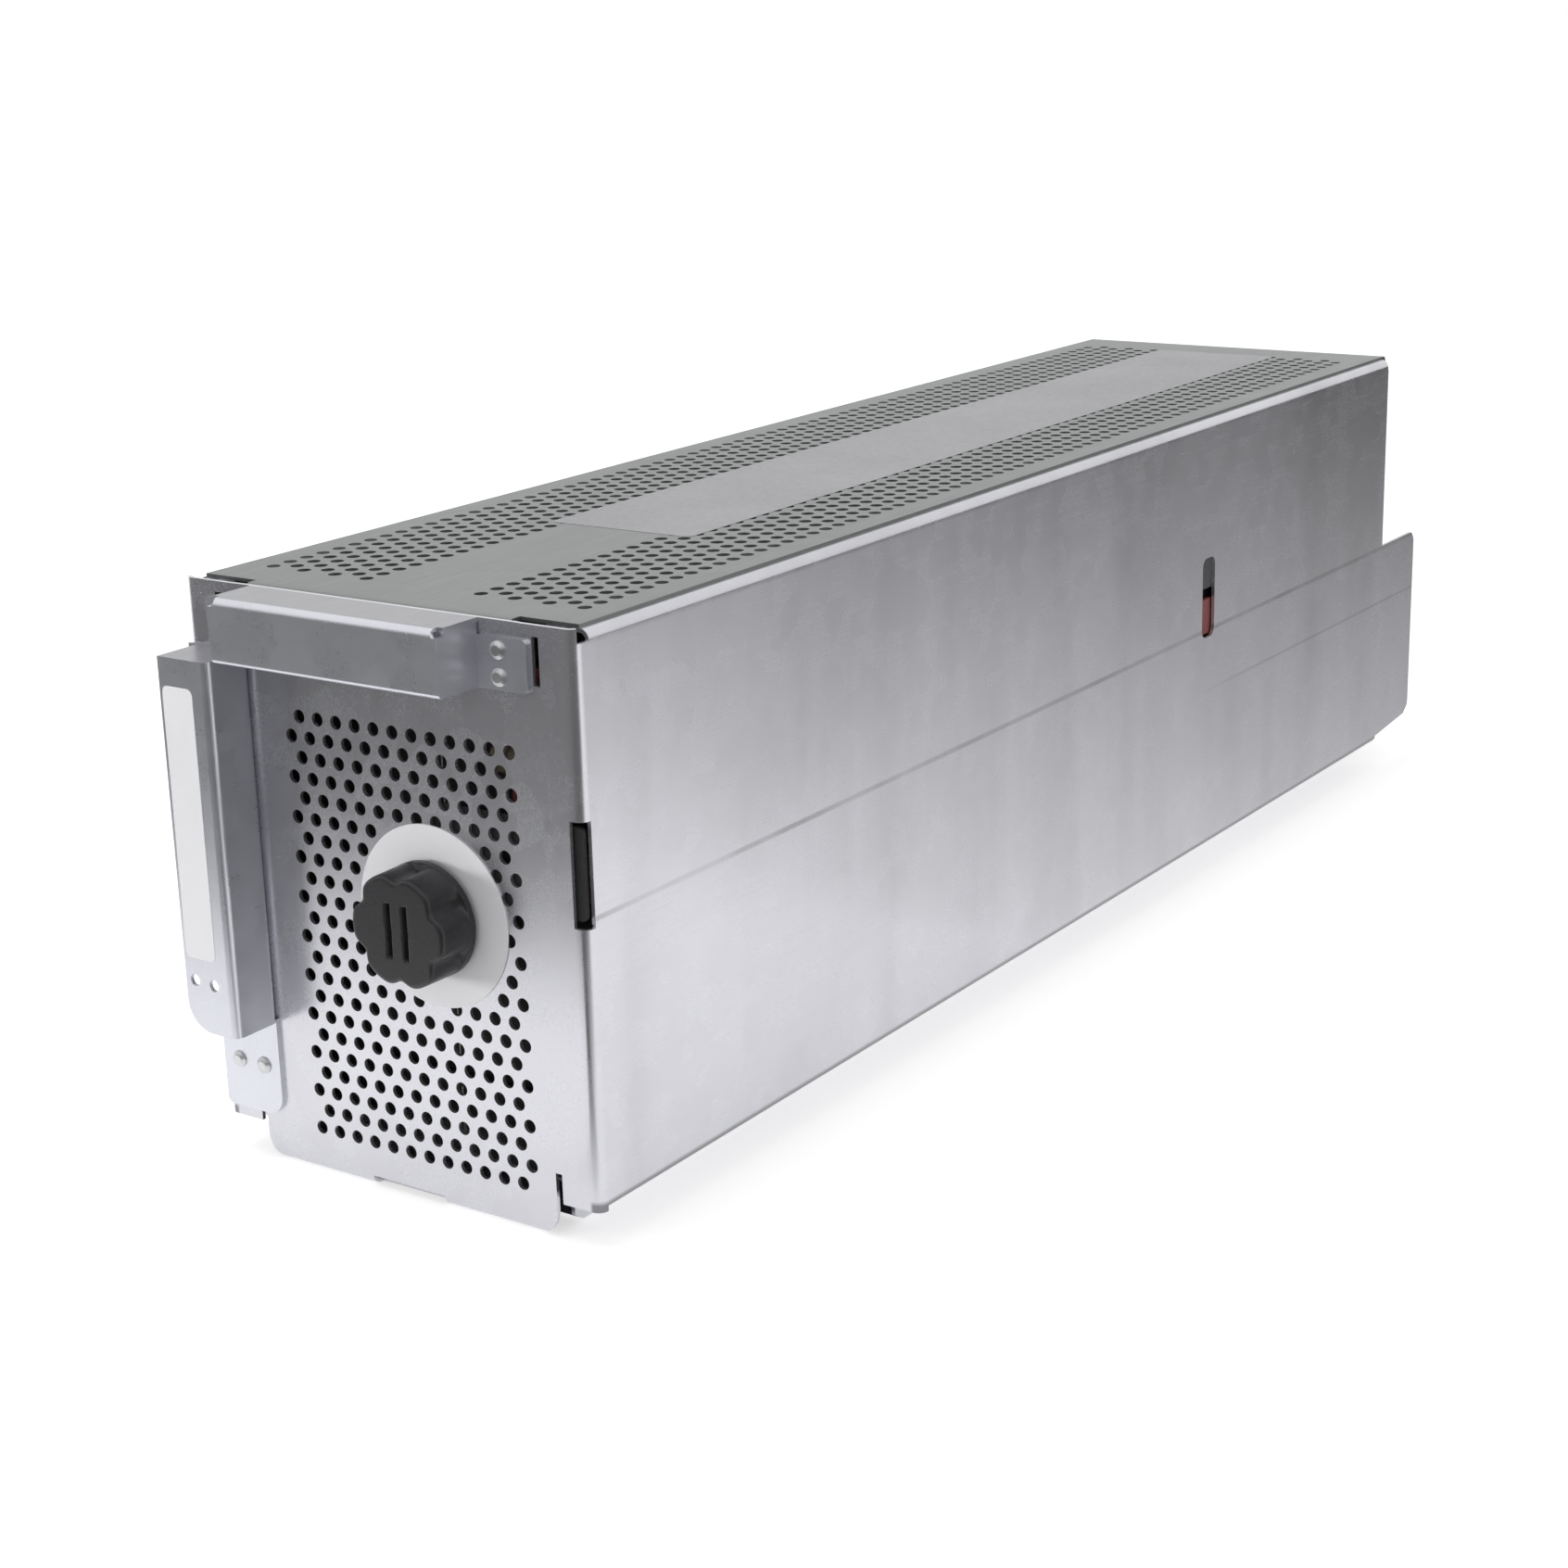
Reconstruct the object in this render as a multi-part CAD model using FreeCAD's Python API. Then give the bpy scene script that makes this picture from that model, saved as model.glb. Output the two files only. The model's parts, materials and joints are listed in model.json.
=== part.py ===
import FreeCAD, Part
import math
import os

# Battery cartridge of a modular UPS: ten sealed 12 V blocks in a folded case of galvanised
# sheet, with a perforated front, a perforated cover, two pull handles, a locking knob that
# slides a bolt out of the right-hand side, and a blind-mate connector at the back.
#
# The model is drawn with X to the right, Y back from the front face and Z up from the keel's
# underside. Each piece is moved along Y as it is saved, so that the origin comes to lie under
# the middle of the whole cartridge. All sizes are in millimetres.

# ---- case ----------------------------------------------------------------------------------
sheet = 1.2                 # steel sheet of case, keel, rear and handles
cover_sheet = 1.0           # steel sheet of the cover and the deck
bend_radius = 3.0           # outside radius of the case's bends
shoulder_width = 15.4       # shoulders beside the stepped-down keel
keel_depth = 10.8           # how far the keel hangs below the shoulders
keel_setback = 7.5          # front face to the keel's front end
keel_ramp_length = 6.0      # lead-in under the keel's front end
keel_ramp_height = 4.0
tongue_reach = 32.0         # side cheeks that run on behind the rear flanges
tongue_top = 95.3           # height of the cheeks' upper edge
tongue_ramp = 6.0           # rise of their lower edge towards the back
rail_flange = 14.0          # turned-in flanges along the top and at the back
corner_relief = 6.0         # open stretch between front face and top flange
cover_notch = 7.5           # cover's front corners, notched from this far inside the keel
cover_hook_inset = 8.0      # cover's front hook, in from the handle's ends
seam_gap = 0.2              # play between sheets that meet edge to edge

# ---- front face ----------------------------------------------------------------------------
lip_corner = 8.0            # rounded lower corners of the lip before the keel
lip_return = 6.5            # lip's turned-back lower edge
lip_notch_width = 26.8
lip_notch_height = 2.7
hole_pitch = 6.8            # staggered round holes at 60 degrees
hole_diameter = 4.0
hole_sides = 8              # facets of one hole
field_left_margin = 37.2    # left-hand face to the first hole's middle
field_right_margin = 23.6   # last hole's middle to the right-hand face
field_drop = 35.5           # top of the case down to the uppermost row
field_low = 12.8            # no hole's middle lies lower
slit_width = 2.2            # bend reliefs beside handle and lip
slit_offset = 1.3           # upper slit, outside the keel's line
upper_slit_drop = 16.5      # top of the case down to the upper slit's lower end
upper_slit_height = 13.0
lower_slit_height = 4.6     # rise of the lower slit above the shoulder
bolt_slot_height = 29.6     # opening in the right-hand corner for the bolt
bolt_rise = 19.7            # middle of the bolt over the knob's axis
bolt_slot_front = 4.6       # its width on the front face, from the side
side_slot_width = 10.0      # slot in the right-hand wall
side_slot_height = 29.6
side_slot_from_rear = 167.0
side_slot_corner = 3.0

# ---- handles -------------------------------------------------------------------------------
handle_depth = 16.7         # face of the handles before the front face
handle_bend = 2.4
bead_diameter = 2.8         # curled lower edge of the top handle
top_handle_left_inset = 25.9
top_handle_right_inset = 31.8
top_handle_drop = 18.6      # height of its plate
foot_width = 16.7           # riveted feet of the top handle
foot_drop = 4.2             # top of the case down to its feet
foot_height = 14.3
foot_rivet_inset = 3.5      # rivets, in from the feet's upper and lower edges
foot_rivet_reach = 7.3      # rivets, out from the handle's ends
relief_hole = 3.0
side_handle_web_inset = 23.1    # left-hand side of the case to the web's right-hand face
side_handle_plate = 18.6    # width of its plate
side_handle_low = 43.7
side_handle_drop = 18.8     # top of the case down to the grip
side_foot_low = 14.4        # its foot runs on below the grip
side_foot_inset = 1.0
side_foot_rivet_rise = 15.0     # level pair of rivets over the foot's lower edge
side_foot_rivet_step = 9.8
side_grip_rivet_inset = 12.0    # hidden rivets, in from the grip's ends
side_foot_corner = 6.0
plate_corner = 9.0
plate_hole = 3.6
rivet_head = 5.0
rivet_shank = 3.0
rivet_height = 1.2

# ---- knob and bolt -------------------------------------------------------------------------
knob_inset = 53.3           # knob's axis, in from the right-hand face
knob_drop = 86.0            # top of the case down to the knob's axis
knob_radius = 16.6
knob_front = 15.6           # face of the knob before the front face
knob_base_thickness = 2.6
knob_base_step = 1.0        # base, wider than the grip
knob_rim = 1.4              # chamfer round its face
knob_gap = 0.3              # running gap between knob and bush flange
flute_count = 6
flute_radius = 5.2
flute_depth = 2.6
grip_slot_width = 5.2
grip_slot_length = 17.0
grip_slot_depth = 3.0
escutcheon_radius = 26.2
escutcheon_thickness = 0.5
bush_radius = 5.0
bush_flange_radius = 7.0
bush_flange = 1.0
shaft_radius = 3.0
shaft_play = 0.05
bolt_sheet = 1.5
bolt_play = 0.3             # gap between front panel and bolt
crank_radius = 8.0          # driving pin, from the shaft's axis
pin_radius = 1.5
pin_play = 0.35
quarter_turn = 90.0         # travel of the knob in degrees
bolt_height = 26.0
bolt_tip_setback = 1.5      # bolt's tip inside the right-hand face at rest
cam_thickness = 3.0
cam_radius = 11.0
clip_thickness = 1.0
clip_radius = 5.5
shaft_end_length = 1.0
stud_radius = 2.5
stud_head_radius = 4.5
stud_head = 1.2
outer_stud_inset = 16.5     # outer stud, in from the right-hand face

# ---- battery blocks ------------------------------------------------------------------------
block_width = 65.0
block_depth = 94.0
block_height = 151.0
block_rows = 5
block_corner = 2.0
block_gap = 7.0             # room for the tabs of the row behind
lid_depth = 12.0
lid_groove = 0.8
tab_width = 6.3
tab_thickness = 0.8
tab_reach = 6.0
tab_inset = 12.0            # tabs, in from the ends of the block
front_space = 24.0          # front panel to the first row
separator = 0.6
insulator = 0.8
side_room = 3.0             # block to side wall, filled by the pads
top_room = 6.0              # block to the cover's underside, filled by the foam
rear_room = 11.4            # last row to the rear panel
link_play = 0.3             # gap between a link and the separator
strap = 2.0                 # insulated flat conductor
strap_width = 10.0
busbar_height = 13.0
riser_inset = 4.0           # riser, in from the fuse's left end
busbar_drop = 7.7           # its middle under the side slot's middle
fuse_drop = 24.0            # fuse's axis under the upper tabs
fuse_radius = 5.0
fuse_length = 24.0
fuse_cap = 5.0
pad_height = 40.0
foam_width = 36.0

# ---- back ----------------------------------------------------------------------------------
connector_width = 64.0
connector_height = 34.0
connector_reach = 24.0      # behind the rear panel
connector_inside = 4.0
connector_middle = 50.0
connector_flange = 9.0
connector_plate = 3.0       # thickness of its flange
connector_edge = 4.0        # panel's opening, in from the housing's outline
opening_play = 1.0
socket_count = 3
socket_width = 14.0
socket_height = 22.0
socket_depth = 20.0
contact_width = 9.0
contact_setback = 8.0       # contacts' ends behind the connector's mouth
contact_thickness = 2.4
signal_width = 30.0
signal_height = 12.0
signal_rise = 32.0          # its middle over the power connector's
rear_rivet_rise = 14.0      # lower rear rivets over the cheeks
rear_rivet_step = 28.0
rear_foot = 10.0            # rear panel's foot on the deck
rear_foam_inset = 12.0      # foam, down from the blocks' tops
signal_reach = 12.0
signal_edge = 3.0           # panel's opening, in from its flange's ends
signal_lap = 2.0            # and from the flange's upper and lower edges
signal_play = 0.5
signal_wall = 1.3           # thickness of its socket's walls
screw_radius = 1.8
screw_head = 3.4
screw_height = 2.0
screw_slot = 0.8            # width and depth of its slot
screw_rise = 5.0            # cover screws over the edge of the cover's rear flange
fastener_inset = 1.0        # rear rivets and screws, in from the middle of the flanges
thread_end = 2.0            # shanks' ends behind the last sheet

# ---- derived sizes -------------------------------------------------------------------------
blocks_side = separator / 2 + block_width
inner_half = blocks_side + side_room
half_width = inner_half + sheet
keel_half = half_width - shoulder_width
shoulder_edge = keel_half + (bend_radius - sheet) + seam_gap
keel_flange_low = keel_depth + sheet
deck_low = keel_flange_low + sheet
deck_top = deck_low + cover_sheet
deck_half = inner_half - (bend_radius - sheet) - seam_gap
blocks_low = deck_top + insulator
blocks_high = blocks_low + block_height
flange_top = blocks_high + top_room
body_height = flange_top + cover_sheet
blocks_front = sheet + front_space
row_pitch = block_depth + block_gap
blocks_back = blocks_front + (block_rows - 1) * row_pitch + block_depth
rear_panel_front = blocks_back + rear_room
rear_panel_back = rear_panel_front + sheet
rear_face = rear_panel_back + sheet
connector_front = rear_panel_front - connector_inside
tongue_end = rear_face + tongue_reach
rail_end = rear_face - bend_radius
side_slot_y = rear_face - side_slot_from_rear
tab_x = separator / 2 + block_width / 2
tab_high = blocks_high - tab_inset
tab_low = blocks_low + tab_inset
knob_x = half_width - knob_inset
knob_z = body_height - knob_drop
bolt_slot_middle = knob_z + bolt_rise
busbar_middle = bolt_slot_middle - busbar_drop
signal_middle = connector_middle + signal_rise
field_top = body_height - field_drop
field_start = field_left_margin - half_width
field_span = half_width - field_right_margin - field_start
field_columns = int(field_span / hole_pitch + 0.51)
row_step = hole_pitch * math.sqrt(3) / 2
field_rows = int((field_top - field_low) / row_step) + 1
upper_slit_low = body_height - upper_slit_drop
top_handle_left = top_handle_left_inset - half_width
top_handle_right = half_width - top_handle_right_inset
foot_high = body_height - foot_drop
foot_low = foot_high - foot_height
side_handle_web = side_handle_web_inset - half_width
side_handle_high = body_height - side_handle_drop
side_foot_left = side_foot_inset - half_width
bush_front = -(escutcheon_thickness + bush_flange)
knob_back = bush_front - knob_gap
bolt_front = sheet + bolt_play
bolt_back = bolt_front + bolt_sheet
cam_front = bolt_back + bolt_play
cam_back = cam_front + cam_thickness
shaft_back = cam_back + clip_thickness + shaft_end_length
half_turn = math.radians(quarter_turn / 2)
bolt_travel = 2 * crank_radius * math.sin(half_turn)
bolt_tip = half_width - bolt_tip_setback
front_reach = max(handle_depth, knob_front)
socket_pitch = (connector_width - 2 * connector_edge) / socket_count
fastener_x = half_width - rail_flange / 2 - fastener_inset
origin_shift = -(tongue_end - front_reach) / 2

V = FreeCAD.Vector
NORMALS = {"XY": V(0, 0, 1), "XZ": V(0, 1, 0), "YZ": V(1, 0, 0)}


# ---- helpers -------------------------------------------------------------------------------
def lift(plane, u, v):
    """A point of the named plane in space."""
    if plane == "XY":
        return V(u, v, 0)
    if plane == "XZ":
        return V(u, 0, v)
    return V(0, u, v)


def outline(plane, corners):
    """Closed wire through (u, v, radius) corners, each rounded by its own radius."""
    stretches = []
    for index, (u, v, radius) in enumerate(corners):
        here = V(u, v, 0)
        last = corners[index - 1]
        following = corners[(index + 1) % len(corners)]
        back = (V(last[0], last[1], 0) - here).normalize()
        ahead = (V(following[0], following[1], 0) - here).normalize()
        half = back.getAngle(ahead) / 2
        if radius <= 0:
            stretches.append((here, here, here))
            continue
        run = radius / math.tan(half)
        inward = (back + ahead).normalize()
        middle = here + inward * (radius / math.sin(half) - radius)
        stretches.append((here + back * run, middle, here + ahead * run))
    edges = []
    for index, (first, middle, final) in enumerate(stretches):
        if (final - first).Length > 1e-6:
            arc = Part.Arc(*[lift(plane, p.x, p.y) for p in (first, middle, final)])
            edges.append(arc.toShape())
        start = stretches[(index + 1) % len(stretches)][0]
        if (start - final).Length > 1e-6:
            ends = [lift(plane, p.x, p.y) for p in (final, start)]
            edges.append(Part.LineSegment(*ends).toShape())
    return Part.Wire(edges)


def prism(plane, corners, low, high):
    """Solid whose section in the plane has those corners, from low to high along its normal."""
    face = Part.Face(outline(plane, corners))
    face.translate(NORMALS[plane] * low)
    return face.extrude(NORMALS[plane] * (high - low))


def folded(plane, points, thickness, radius, low, high):
    """Folded sheet: its first face follows the points, and the sheet lies to their left."""
    directions = []
    for first, second in zip(points, points[1:]):
        directions.append(V(second[0] - first[0], second[1] - first[1], 0).normalize())
    normals = [V(-d.y, d.x, 0) for d in directions]
    outer = [(points[0][0], points[0][1], 0)]
    first_inner = V(points[0][0], points[0][1], 0) + normals[0] * thickness
    inner = [(first_inner.x, first_inner.y, 0)]
    for index in range(1, len(points) - 1):
        before, after = normals[index - 1], normals[index]
        here = V(points[index][0], points[index][1], 0)
        offset = (before + after) * (thickness / (1 + before.dot(after)))
        left_turn = directions[index - 1].cross(directions[index]).z > 0
        near = radius if left_turn else radius - thickness
        far = radius - thickness if left_turn else radius
        outer.append((here.x, here.y, near))
        inner.append((here.x + offset.x, here.y + offset.y, far))
    outer.append((points[-1][0], points[-1][1], 0))
    last_inner = V(points[-1][0], points[-1][1], 0) + normals[-1] * thickness
    inner.append((last_inner.x, last_inner.y, 0))
    return prism(plane, outer + inner[::-1], low, high)


def box(x0, x1, y0, y1, z0, z1):
    """Box between two corners."""
    return Part.makeBox(x1 - x0, y1 - y0, z1 - z0, V(x0, y0, z0))


def rod(x, z, radius, y0, y1):
    """Cylinder along Y."""
    return Part.makeCylinder(radius, y1 - y0, V(x, y0, z), V(0, 1, 0))


def rounded(x0, x1, z0, z1, radius):
    """Corners of an upright rectangle with one corner radius."""
    return [(x0, z0, radius), (x1, z0, radius), (x1, z1, radius), (x0, z1, radius)]


def mirrored(shape):
    """The shape and its mirror image across the case's middle."""
    return [shape, shape.mirror(V(0, 0, 0), V(1, 0, 0))]


def joined(shapes):
    """One solid from pieces that overlap or share faces."""
    whole = shapes[0].fuse(shapes[1:])
    return whole.removeSplitter()


def group(shapes):
    """Separate solids that share one node."""
    return Part.makeCompound(shapes)


def save(node, shape):
    """Write one piece, moved so that the origin lies under the cartridge's middle."""
    placed = shape.copy()
    placed.translate(V(0, origin_shift, 0))
    placed.exportStep("parts/%s.step" % node)
    solids = placed.Solids
    sound = all(solid.isValid() for solid in solids)
    print("%-22s solids %2d  volume %10.1f  %s" % (node, len(solids), placed.Volume,
                                                   "valid" if sound else "NOT VALID"))


# ---- case pieces ---------------------------------------------------------------------------
def hole_places():
    """Middles of the front panel's holes, leaving the escutcheon's ground blank."""
    places = []
    for row in range(field_rows):
        z = field_top - row * row_step
        stagger = 0.5 if row % 2 == 0 else 0.0
        for column in range(field_columns):
            x = field_start + (column + stagger) * hole_pitch
            if math.hypot(x - knob_x, z - knob_z) > escutcheon_radius:
                places.append((x, z))
    return places


def hole_prism(x, z, y0, y1):
    """One hole of the grille as a many-sided prism of the hole's own area."""
    step = 2 * math.pi / hole_sides
    radius = hole_diameter / 2 * math.sqrt(step / math.sin(step))
    points = []
    for side in range(hole_sides + 1):
        turn = (side % hole_sides + 0.5) * step
        points.append(V(x + radius * math.cos(turn), y0, z + radius * math.sin(turn)))
    return Part.Face(Part.makePolygon(points)).extrude(V(0, y1 - y0, 0))


def front_cutters():
    """Everything that is punched out of the case's front and its lip."""
    w, t = half_width, sheet
    cutters = [hole_prism(x, z, -1, t + 1) for x, z in hole_places()]
    cutters.append(rod(knob_x, knob_z, bush_radius + shaft_play, -1, t + 1))
    corner_x = keel_half - lip_corner
    block = box(corner_x, w, -1, lip_return + 1, -1, lip_corner)
    round_off = block.cut(rod(corner_x, lip_corner, lip_corner, -2, lip_return + 2))
    cutters += mirrored(round_off)
    cutters.append(box(-lip_notch_width / 2, lip_notch_width / 2, -1, bend_radius + 1,
                       -1, lip_notch_height))
    low_slit = box(keel_half, keel_half + slit_width, -1, t + 1,
                   keel_depth - 1, keel_depth + lower_slit_height)
    cutters += mirrored(low_slit)
    slit_x = keel_half + slit_offset
    high_slit = box(slit_x, slit_x + slit_width, -1, t + 1,
                    upper_slit_low, upper_slit_low + upper_slit_height)
    cutters += mirrored(high_slit)
    cutters.append(box(w - bolt_slot_front, w + 1, -1, bolt_back + bolt_play,
                       bolt_slot_middle - bolt_slot_height / 2,
                       bolt_slot_middle + bolt_slot_height / 2))
    for x, z in top_rivets() + side_rivets():
        cutters.append(rod(x, z, rivet_shank / 2, -1, t + 1))
    return cutters


def case_wrap():
    """Front and both sides folded from one sheet, with flanges, lip and rear cheeks."""
    w, t = half_width, sheet
    corner_end = bend_radius + seam_gap
    front = folded("XY", [(-w, corner_end), (-w, 0), (w, 0), (w, corner_end)],
                   t, bend_radius, keel_depth, body_height)
    lip = folded("YZ", [(0, keel_depth), (0, 0), (lip_return, 0)], t, bend_radius,
                 -keel_half, keel_half)
    side = folded("XZ", [(shoulder_edge, keel_depth), (w, keel_depth), (w, flange_top),
                         (w - rail_flange, flange_top)], t, bend_radius, corner_end, rail_end)
    cheek_low = keel_depth + bend_radius
    cheek = prism("YZ", [(rail_end, cheek_low, 0), (tongue_end, keel_depth + tongue_ramp, 4.0),
                         (tongue_end, tongue_top, 3.0), (rail_end, tongue_top, 0)],
                  w - t, w)
    flange = folded("XY", [(w, rail_end - 1), (w, rear_face), (w - rail_flange, rear_face)],
                    t, bend_radius, tongue_top + 2 * seam_gap, flange_top - bend_radius - 1)
    slot_low = bolt_slot_middle - side_slot_height / 2
    slot_high = bolt_slot_middle + side_slot_height / 2
    slot_start = side_slot_y - side_slot_width / 2
    slot_end = side_slot_y + side_slot_width / 2
    cutters = front_cutters()
    cutters.append(box(-w - 1, w + 1, t, corner_relief, flange_top - bend_radius,
                       body_height + 1))
    cutters.append(prism("YZ", [(slot_start, slot_low, side_slot_corner),
                                (slot_end, slot_low, side_slot_corner),
                                (slot_end, slot_high, side_slot_corner),
                                (slot_start, slot_high, side_slot_corner)],
                         inner_half - 1, w + 1))
    for x, z in rear_rivets() + cover_screws():
        cutters.append(rod(x, z, rivet_shank / 2, rail_end, rear_face + 1))
    wrap = joined([front, lip] + mirrored(side) + mirrored(cheek) + mirrored(flange))
    return wrap.cut(cutters)


def keel_channel():
    """Hat-shaped channel under the case, its flanges lying on the case's shoulders."""
    edge = inner_half - (bend_radius - sheet) - seam_gap
    section = [(-edge, keel_flange_low), (-keel_half, keel_flange_low), (-keel_half, 0),
               (keel_half, 0), (keel_half, keel_flange_low), (edge, keel_flange_low)]
    channel = folded("XZ", section, sheet, bend_radius, keel_setback, rail_end)
    start, end = keel_setback, keel_setback + keel_ramp_length
    ramp = prism("YZ", [(start - 1, -1, 0), (end, -1, 0), (end, 0, 0),
                        (start, keel_ramp_height, 0), (start - 1, keel_ramp_height, 0)],
                 -half_width, half_width)
    return channel.cut(ramp)


def top_cover():
    """Cover that lies on the chassis flanges and hooks down at the front and back."""
    edge = half_width - bend_radius
    front = sheet + seam_gap / 2
    rear = rear_face + cover_sheet
    skin = folded("YZ", [(rear, body_height - rail_flange), (rear, body_height), (front, body_height),
                         (front, body_height - rail_flange)], cover_sheet, bend_radius - 1,
                  -edge, edge)
    hook = -top_handle_left - cover_hook_inset
    cutters = mirrored(box(keel_half - cover_notch, edge + 1, 0, corner_relief,
                           body_height - rail_flange - 1, body_height + 1))
    cutters += mirrored(box(hook, edge + 1, 0, front + bend_radius, 0,
                            flange_top - 0.1))
    for x, z in cover_screws():
        cutters.append(rod(x, z, screw_radius, rear_face - 1, rear + 1))
    return skin.cut(cutters)


def rear_panel():
    """Back sheet behind the blocks, with a foot on the deck and the connectors' openings."""
    edge = inner_half - (bend_radius - sheet) - seam_gap
    panel = folded("YZ", [(rear_panel_front - rear_foot, deck_top), (rear_panel_back, deck_top),
                          (rear_panel_back, flange_top - sheet - 1)], sheet, bend_radius,
                   -edge, edge)
    cutters = []
    half = connector_width / 2 - connector_edge
    tall = connector_height / 2 - connector_edge
    cutters.append(box(-half, half, rear_panel_front - 1, rear_panel_back + 1,
                       connector_middle - tall, connector_middle + tall))
    half, tall = signal_width / 2 - signal_edge, signal_height / 2 - signal_lap
    cutters.append(box(-half, half, rear_panel_front - 1, rear_panel_back + 1,
                       signal_middle - tall, signal_middle + tall))
    for x, z in rear_rivets() + cover_screws() + connector_screws():
        cutters.append(rod(x, z, rivet_shank / 2, rear_panel_front - 1, rear_panel_back + 1))
    return panel.cut(cutters)


def battery_deck():
    """Flat plate on the shoulders that carries the blocks over the keel."""
    return box(-deck_half, deck_half, keel_setback, rail_end, deck_low, deck_top)


# ---- handles -------------------------------------------------------------------------------
def top_rivets():
    """Rivets of the top handle's feet."""
    middle = (top_handle_left + top_handle_right) / 2
    reach = top_handle_right + foot_rivet_reach - middle
    heights = (foot_low + foot_rivet_inset, foot_high - foot_rivet_inset)
    return [(middle + side * reach, z) for side in (-1, 1) for z in heights]


def side_rivets():
    """Rivets of the side handle: a level pair in the foot's end and two inside the grip."""
    low = side_foot_low + side_foot_rivet_rise
    foot_middle = (side_foot_left + side_handle_web) / 2
    half_step = side_foot_rivet_step / 2
    pair = [(foot_middle - half_step, low), (foot_middle + half_step, low)]
    heights = (side_handle_low + side_grip_rivet_inset, side_handle_high - side_grip_rivet_inset)
    return pair + [(foot_middle, z) for z in heights]


def top_handle():
    """Channel across the top of the front, closed at both ends and open below."""
    t, depth, top = sheet, handle_depth, body_height
    low = top - top_handle_drop
    left, right = top_handle_left, top_handle_right
    grip = folded("YZ", [(0, top), (-depth, top), (-depth, low + bead_diameter / 2)],
                  t, handle_bend, left, right)
    bead_y = -depth + bead_diameter / 2
    bead = Part.makeCylinder(bead_diameter / 2, right - left, V(left, bead_y,
                             low + bead_diameter / 2), V(1, 0, 0))
    pieces = [grip, bead]
    for end, outward in ((left, -1), (right, 1)):
        web = prism("YZ", [(-depth, low, 3), (-t / 2, low, 0), (-t / 2, top, 0),
                           (-depth, top, handle_bend)], min(end, end - outward * t),
                    max(end, end - outward * t))
        foot_end = end + outward * foot_width
        foot = prism("XZ", rounded(min(end - outward * t, foot_end),
                                   max(end - outward * t, foot_end), foot_low, foot_high, 1.5),
                     -t, 0)
        pieces += [web, foot]
    handle = joined(pieces)
    cutters = []
    for end, outward in ((left, -1), (right, 1)):
        cutters.append(rod(end - outward * 0.6, top - 1.0, relief_hole / 2, -depth - 1, -depth + 3))
    for x, z in top_rivets():
        cutters.append(rod(x, z, rivet_shank / 2, -t - 1, 1))
    return handle.cut(cutters)


def side_handle():
    """Upright channel at the left, open to the left, with a foot that runs on below it."""
    t, depth, web = sheet, handle_depth, side_handle_web
    plate_left = web - side_handle_plate
    low, high = side_handle_low, side_handle_high
    grip = folded("XY", [(plate_left, -depth), (web, -depth), (web, 0), (side_foot_left, 0)],
                  t, handle_bend, low, high)
    foot = prism("XZ", [(side_foot_left, side_foot_low, 2), (web, side_foot_low,
                        side_foot_corner), (web, low + 1, 0), (side_foot_left, low + 1, 0)],
                 -t, 0)
    cap = box(plate_left, web - t / 2, -depth + t / 2, -t / 2, high - t, high)
    handle = joined([grip, foot, cap])
    block = box(plate_left - 1, plate_left + plate_corner, -depth - 1, -depth + t + 1,
                low - 1, low + plate_corner)
    round_off = block.cut(rod(plate_left + plate_corner, low + plate_corner, plate_corner,
                              -depth - 2, -depth + t + 2))
    cutters = [round_off]
    for x, z in ((plate_left + 3.6, low + 15.5), (plate_left + 11.0, low + 15.0)):
        cutters.append(rod(x, z, plate_hole / 2, -depth - 1, -depth + t + 1))
    for x, z in side_rivets():
        cutters.append(rod(x, z, rivet_shank / 2, -t - 1, 1))
    return handle.cut(cutters)


def blind_rivet(x, z, y0, y1, outward):
    """Rivet through sheets from y0 to y1, with its crowned head on the outward side."""
    radius, shank, height = rivet_head / 2, rivet_shank / 2, rivet_height
    grip = y1 - y0
    tail = height / 2
    profile = [(0, grip + height, 0), (radius / 2, grip + height, 0), (radius, grip + height / 3, 0),
               (radius, grip, 0), (shank, grip, 0), (shank, 0, 0), (radius * 0.8, 0, 0),
               (radius * 0.8, -tail, 0), (0, -tail, 0)]
    rivet = Part.Face(outline("XY", profile)).revolve(V(0, 0, 0), V(0, 1, 0), 360)
    if outward < 0:
        rivet = rivet.mirror(V(0, 0, 0), V(0, 1, 0))
    rivet.translate(V(x, y1 if outward < 0 else y0, z))
    return rivet


# ---- knob and bolt -------------------------------------------------------------------------
def escutcheon():
    """Round plate round the knob."""
    plate = rod(knob_x, knob_z, escutcheon_radius, -escutcheon_thickness, 0)
    return plate.cut(rod(knob_x, knob_z, bush_radius + shaft_play, -1, 1))


def knob_bush():
    """Flanged bush that carries the shaft in the front panel."""
    flange = rod(knob_x, knob_z, bush_flange_radius, bush_front, -escutcheon_thickness)
    barrel = rod(knob_x, knob_z, bush_radius, bush_front, sheet)
    return joined([flange, barrel]).cut(rod(knob_x, knob_z, shaft_radius + shaft_play,
                                            bush_front - 1, sheet + 1))


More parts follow.
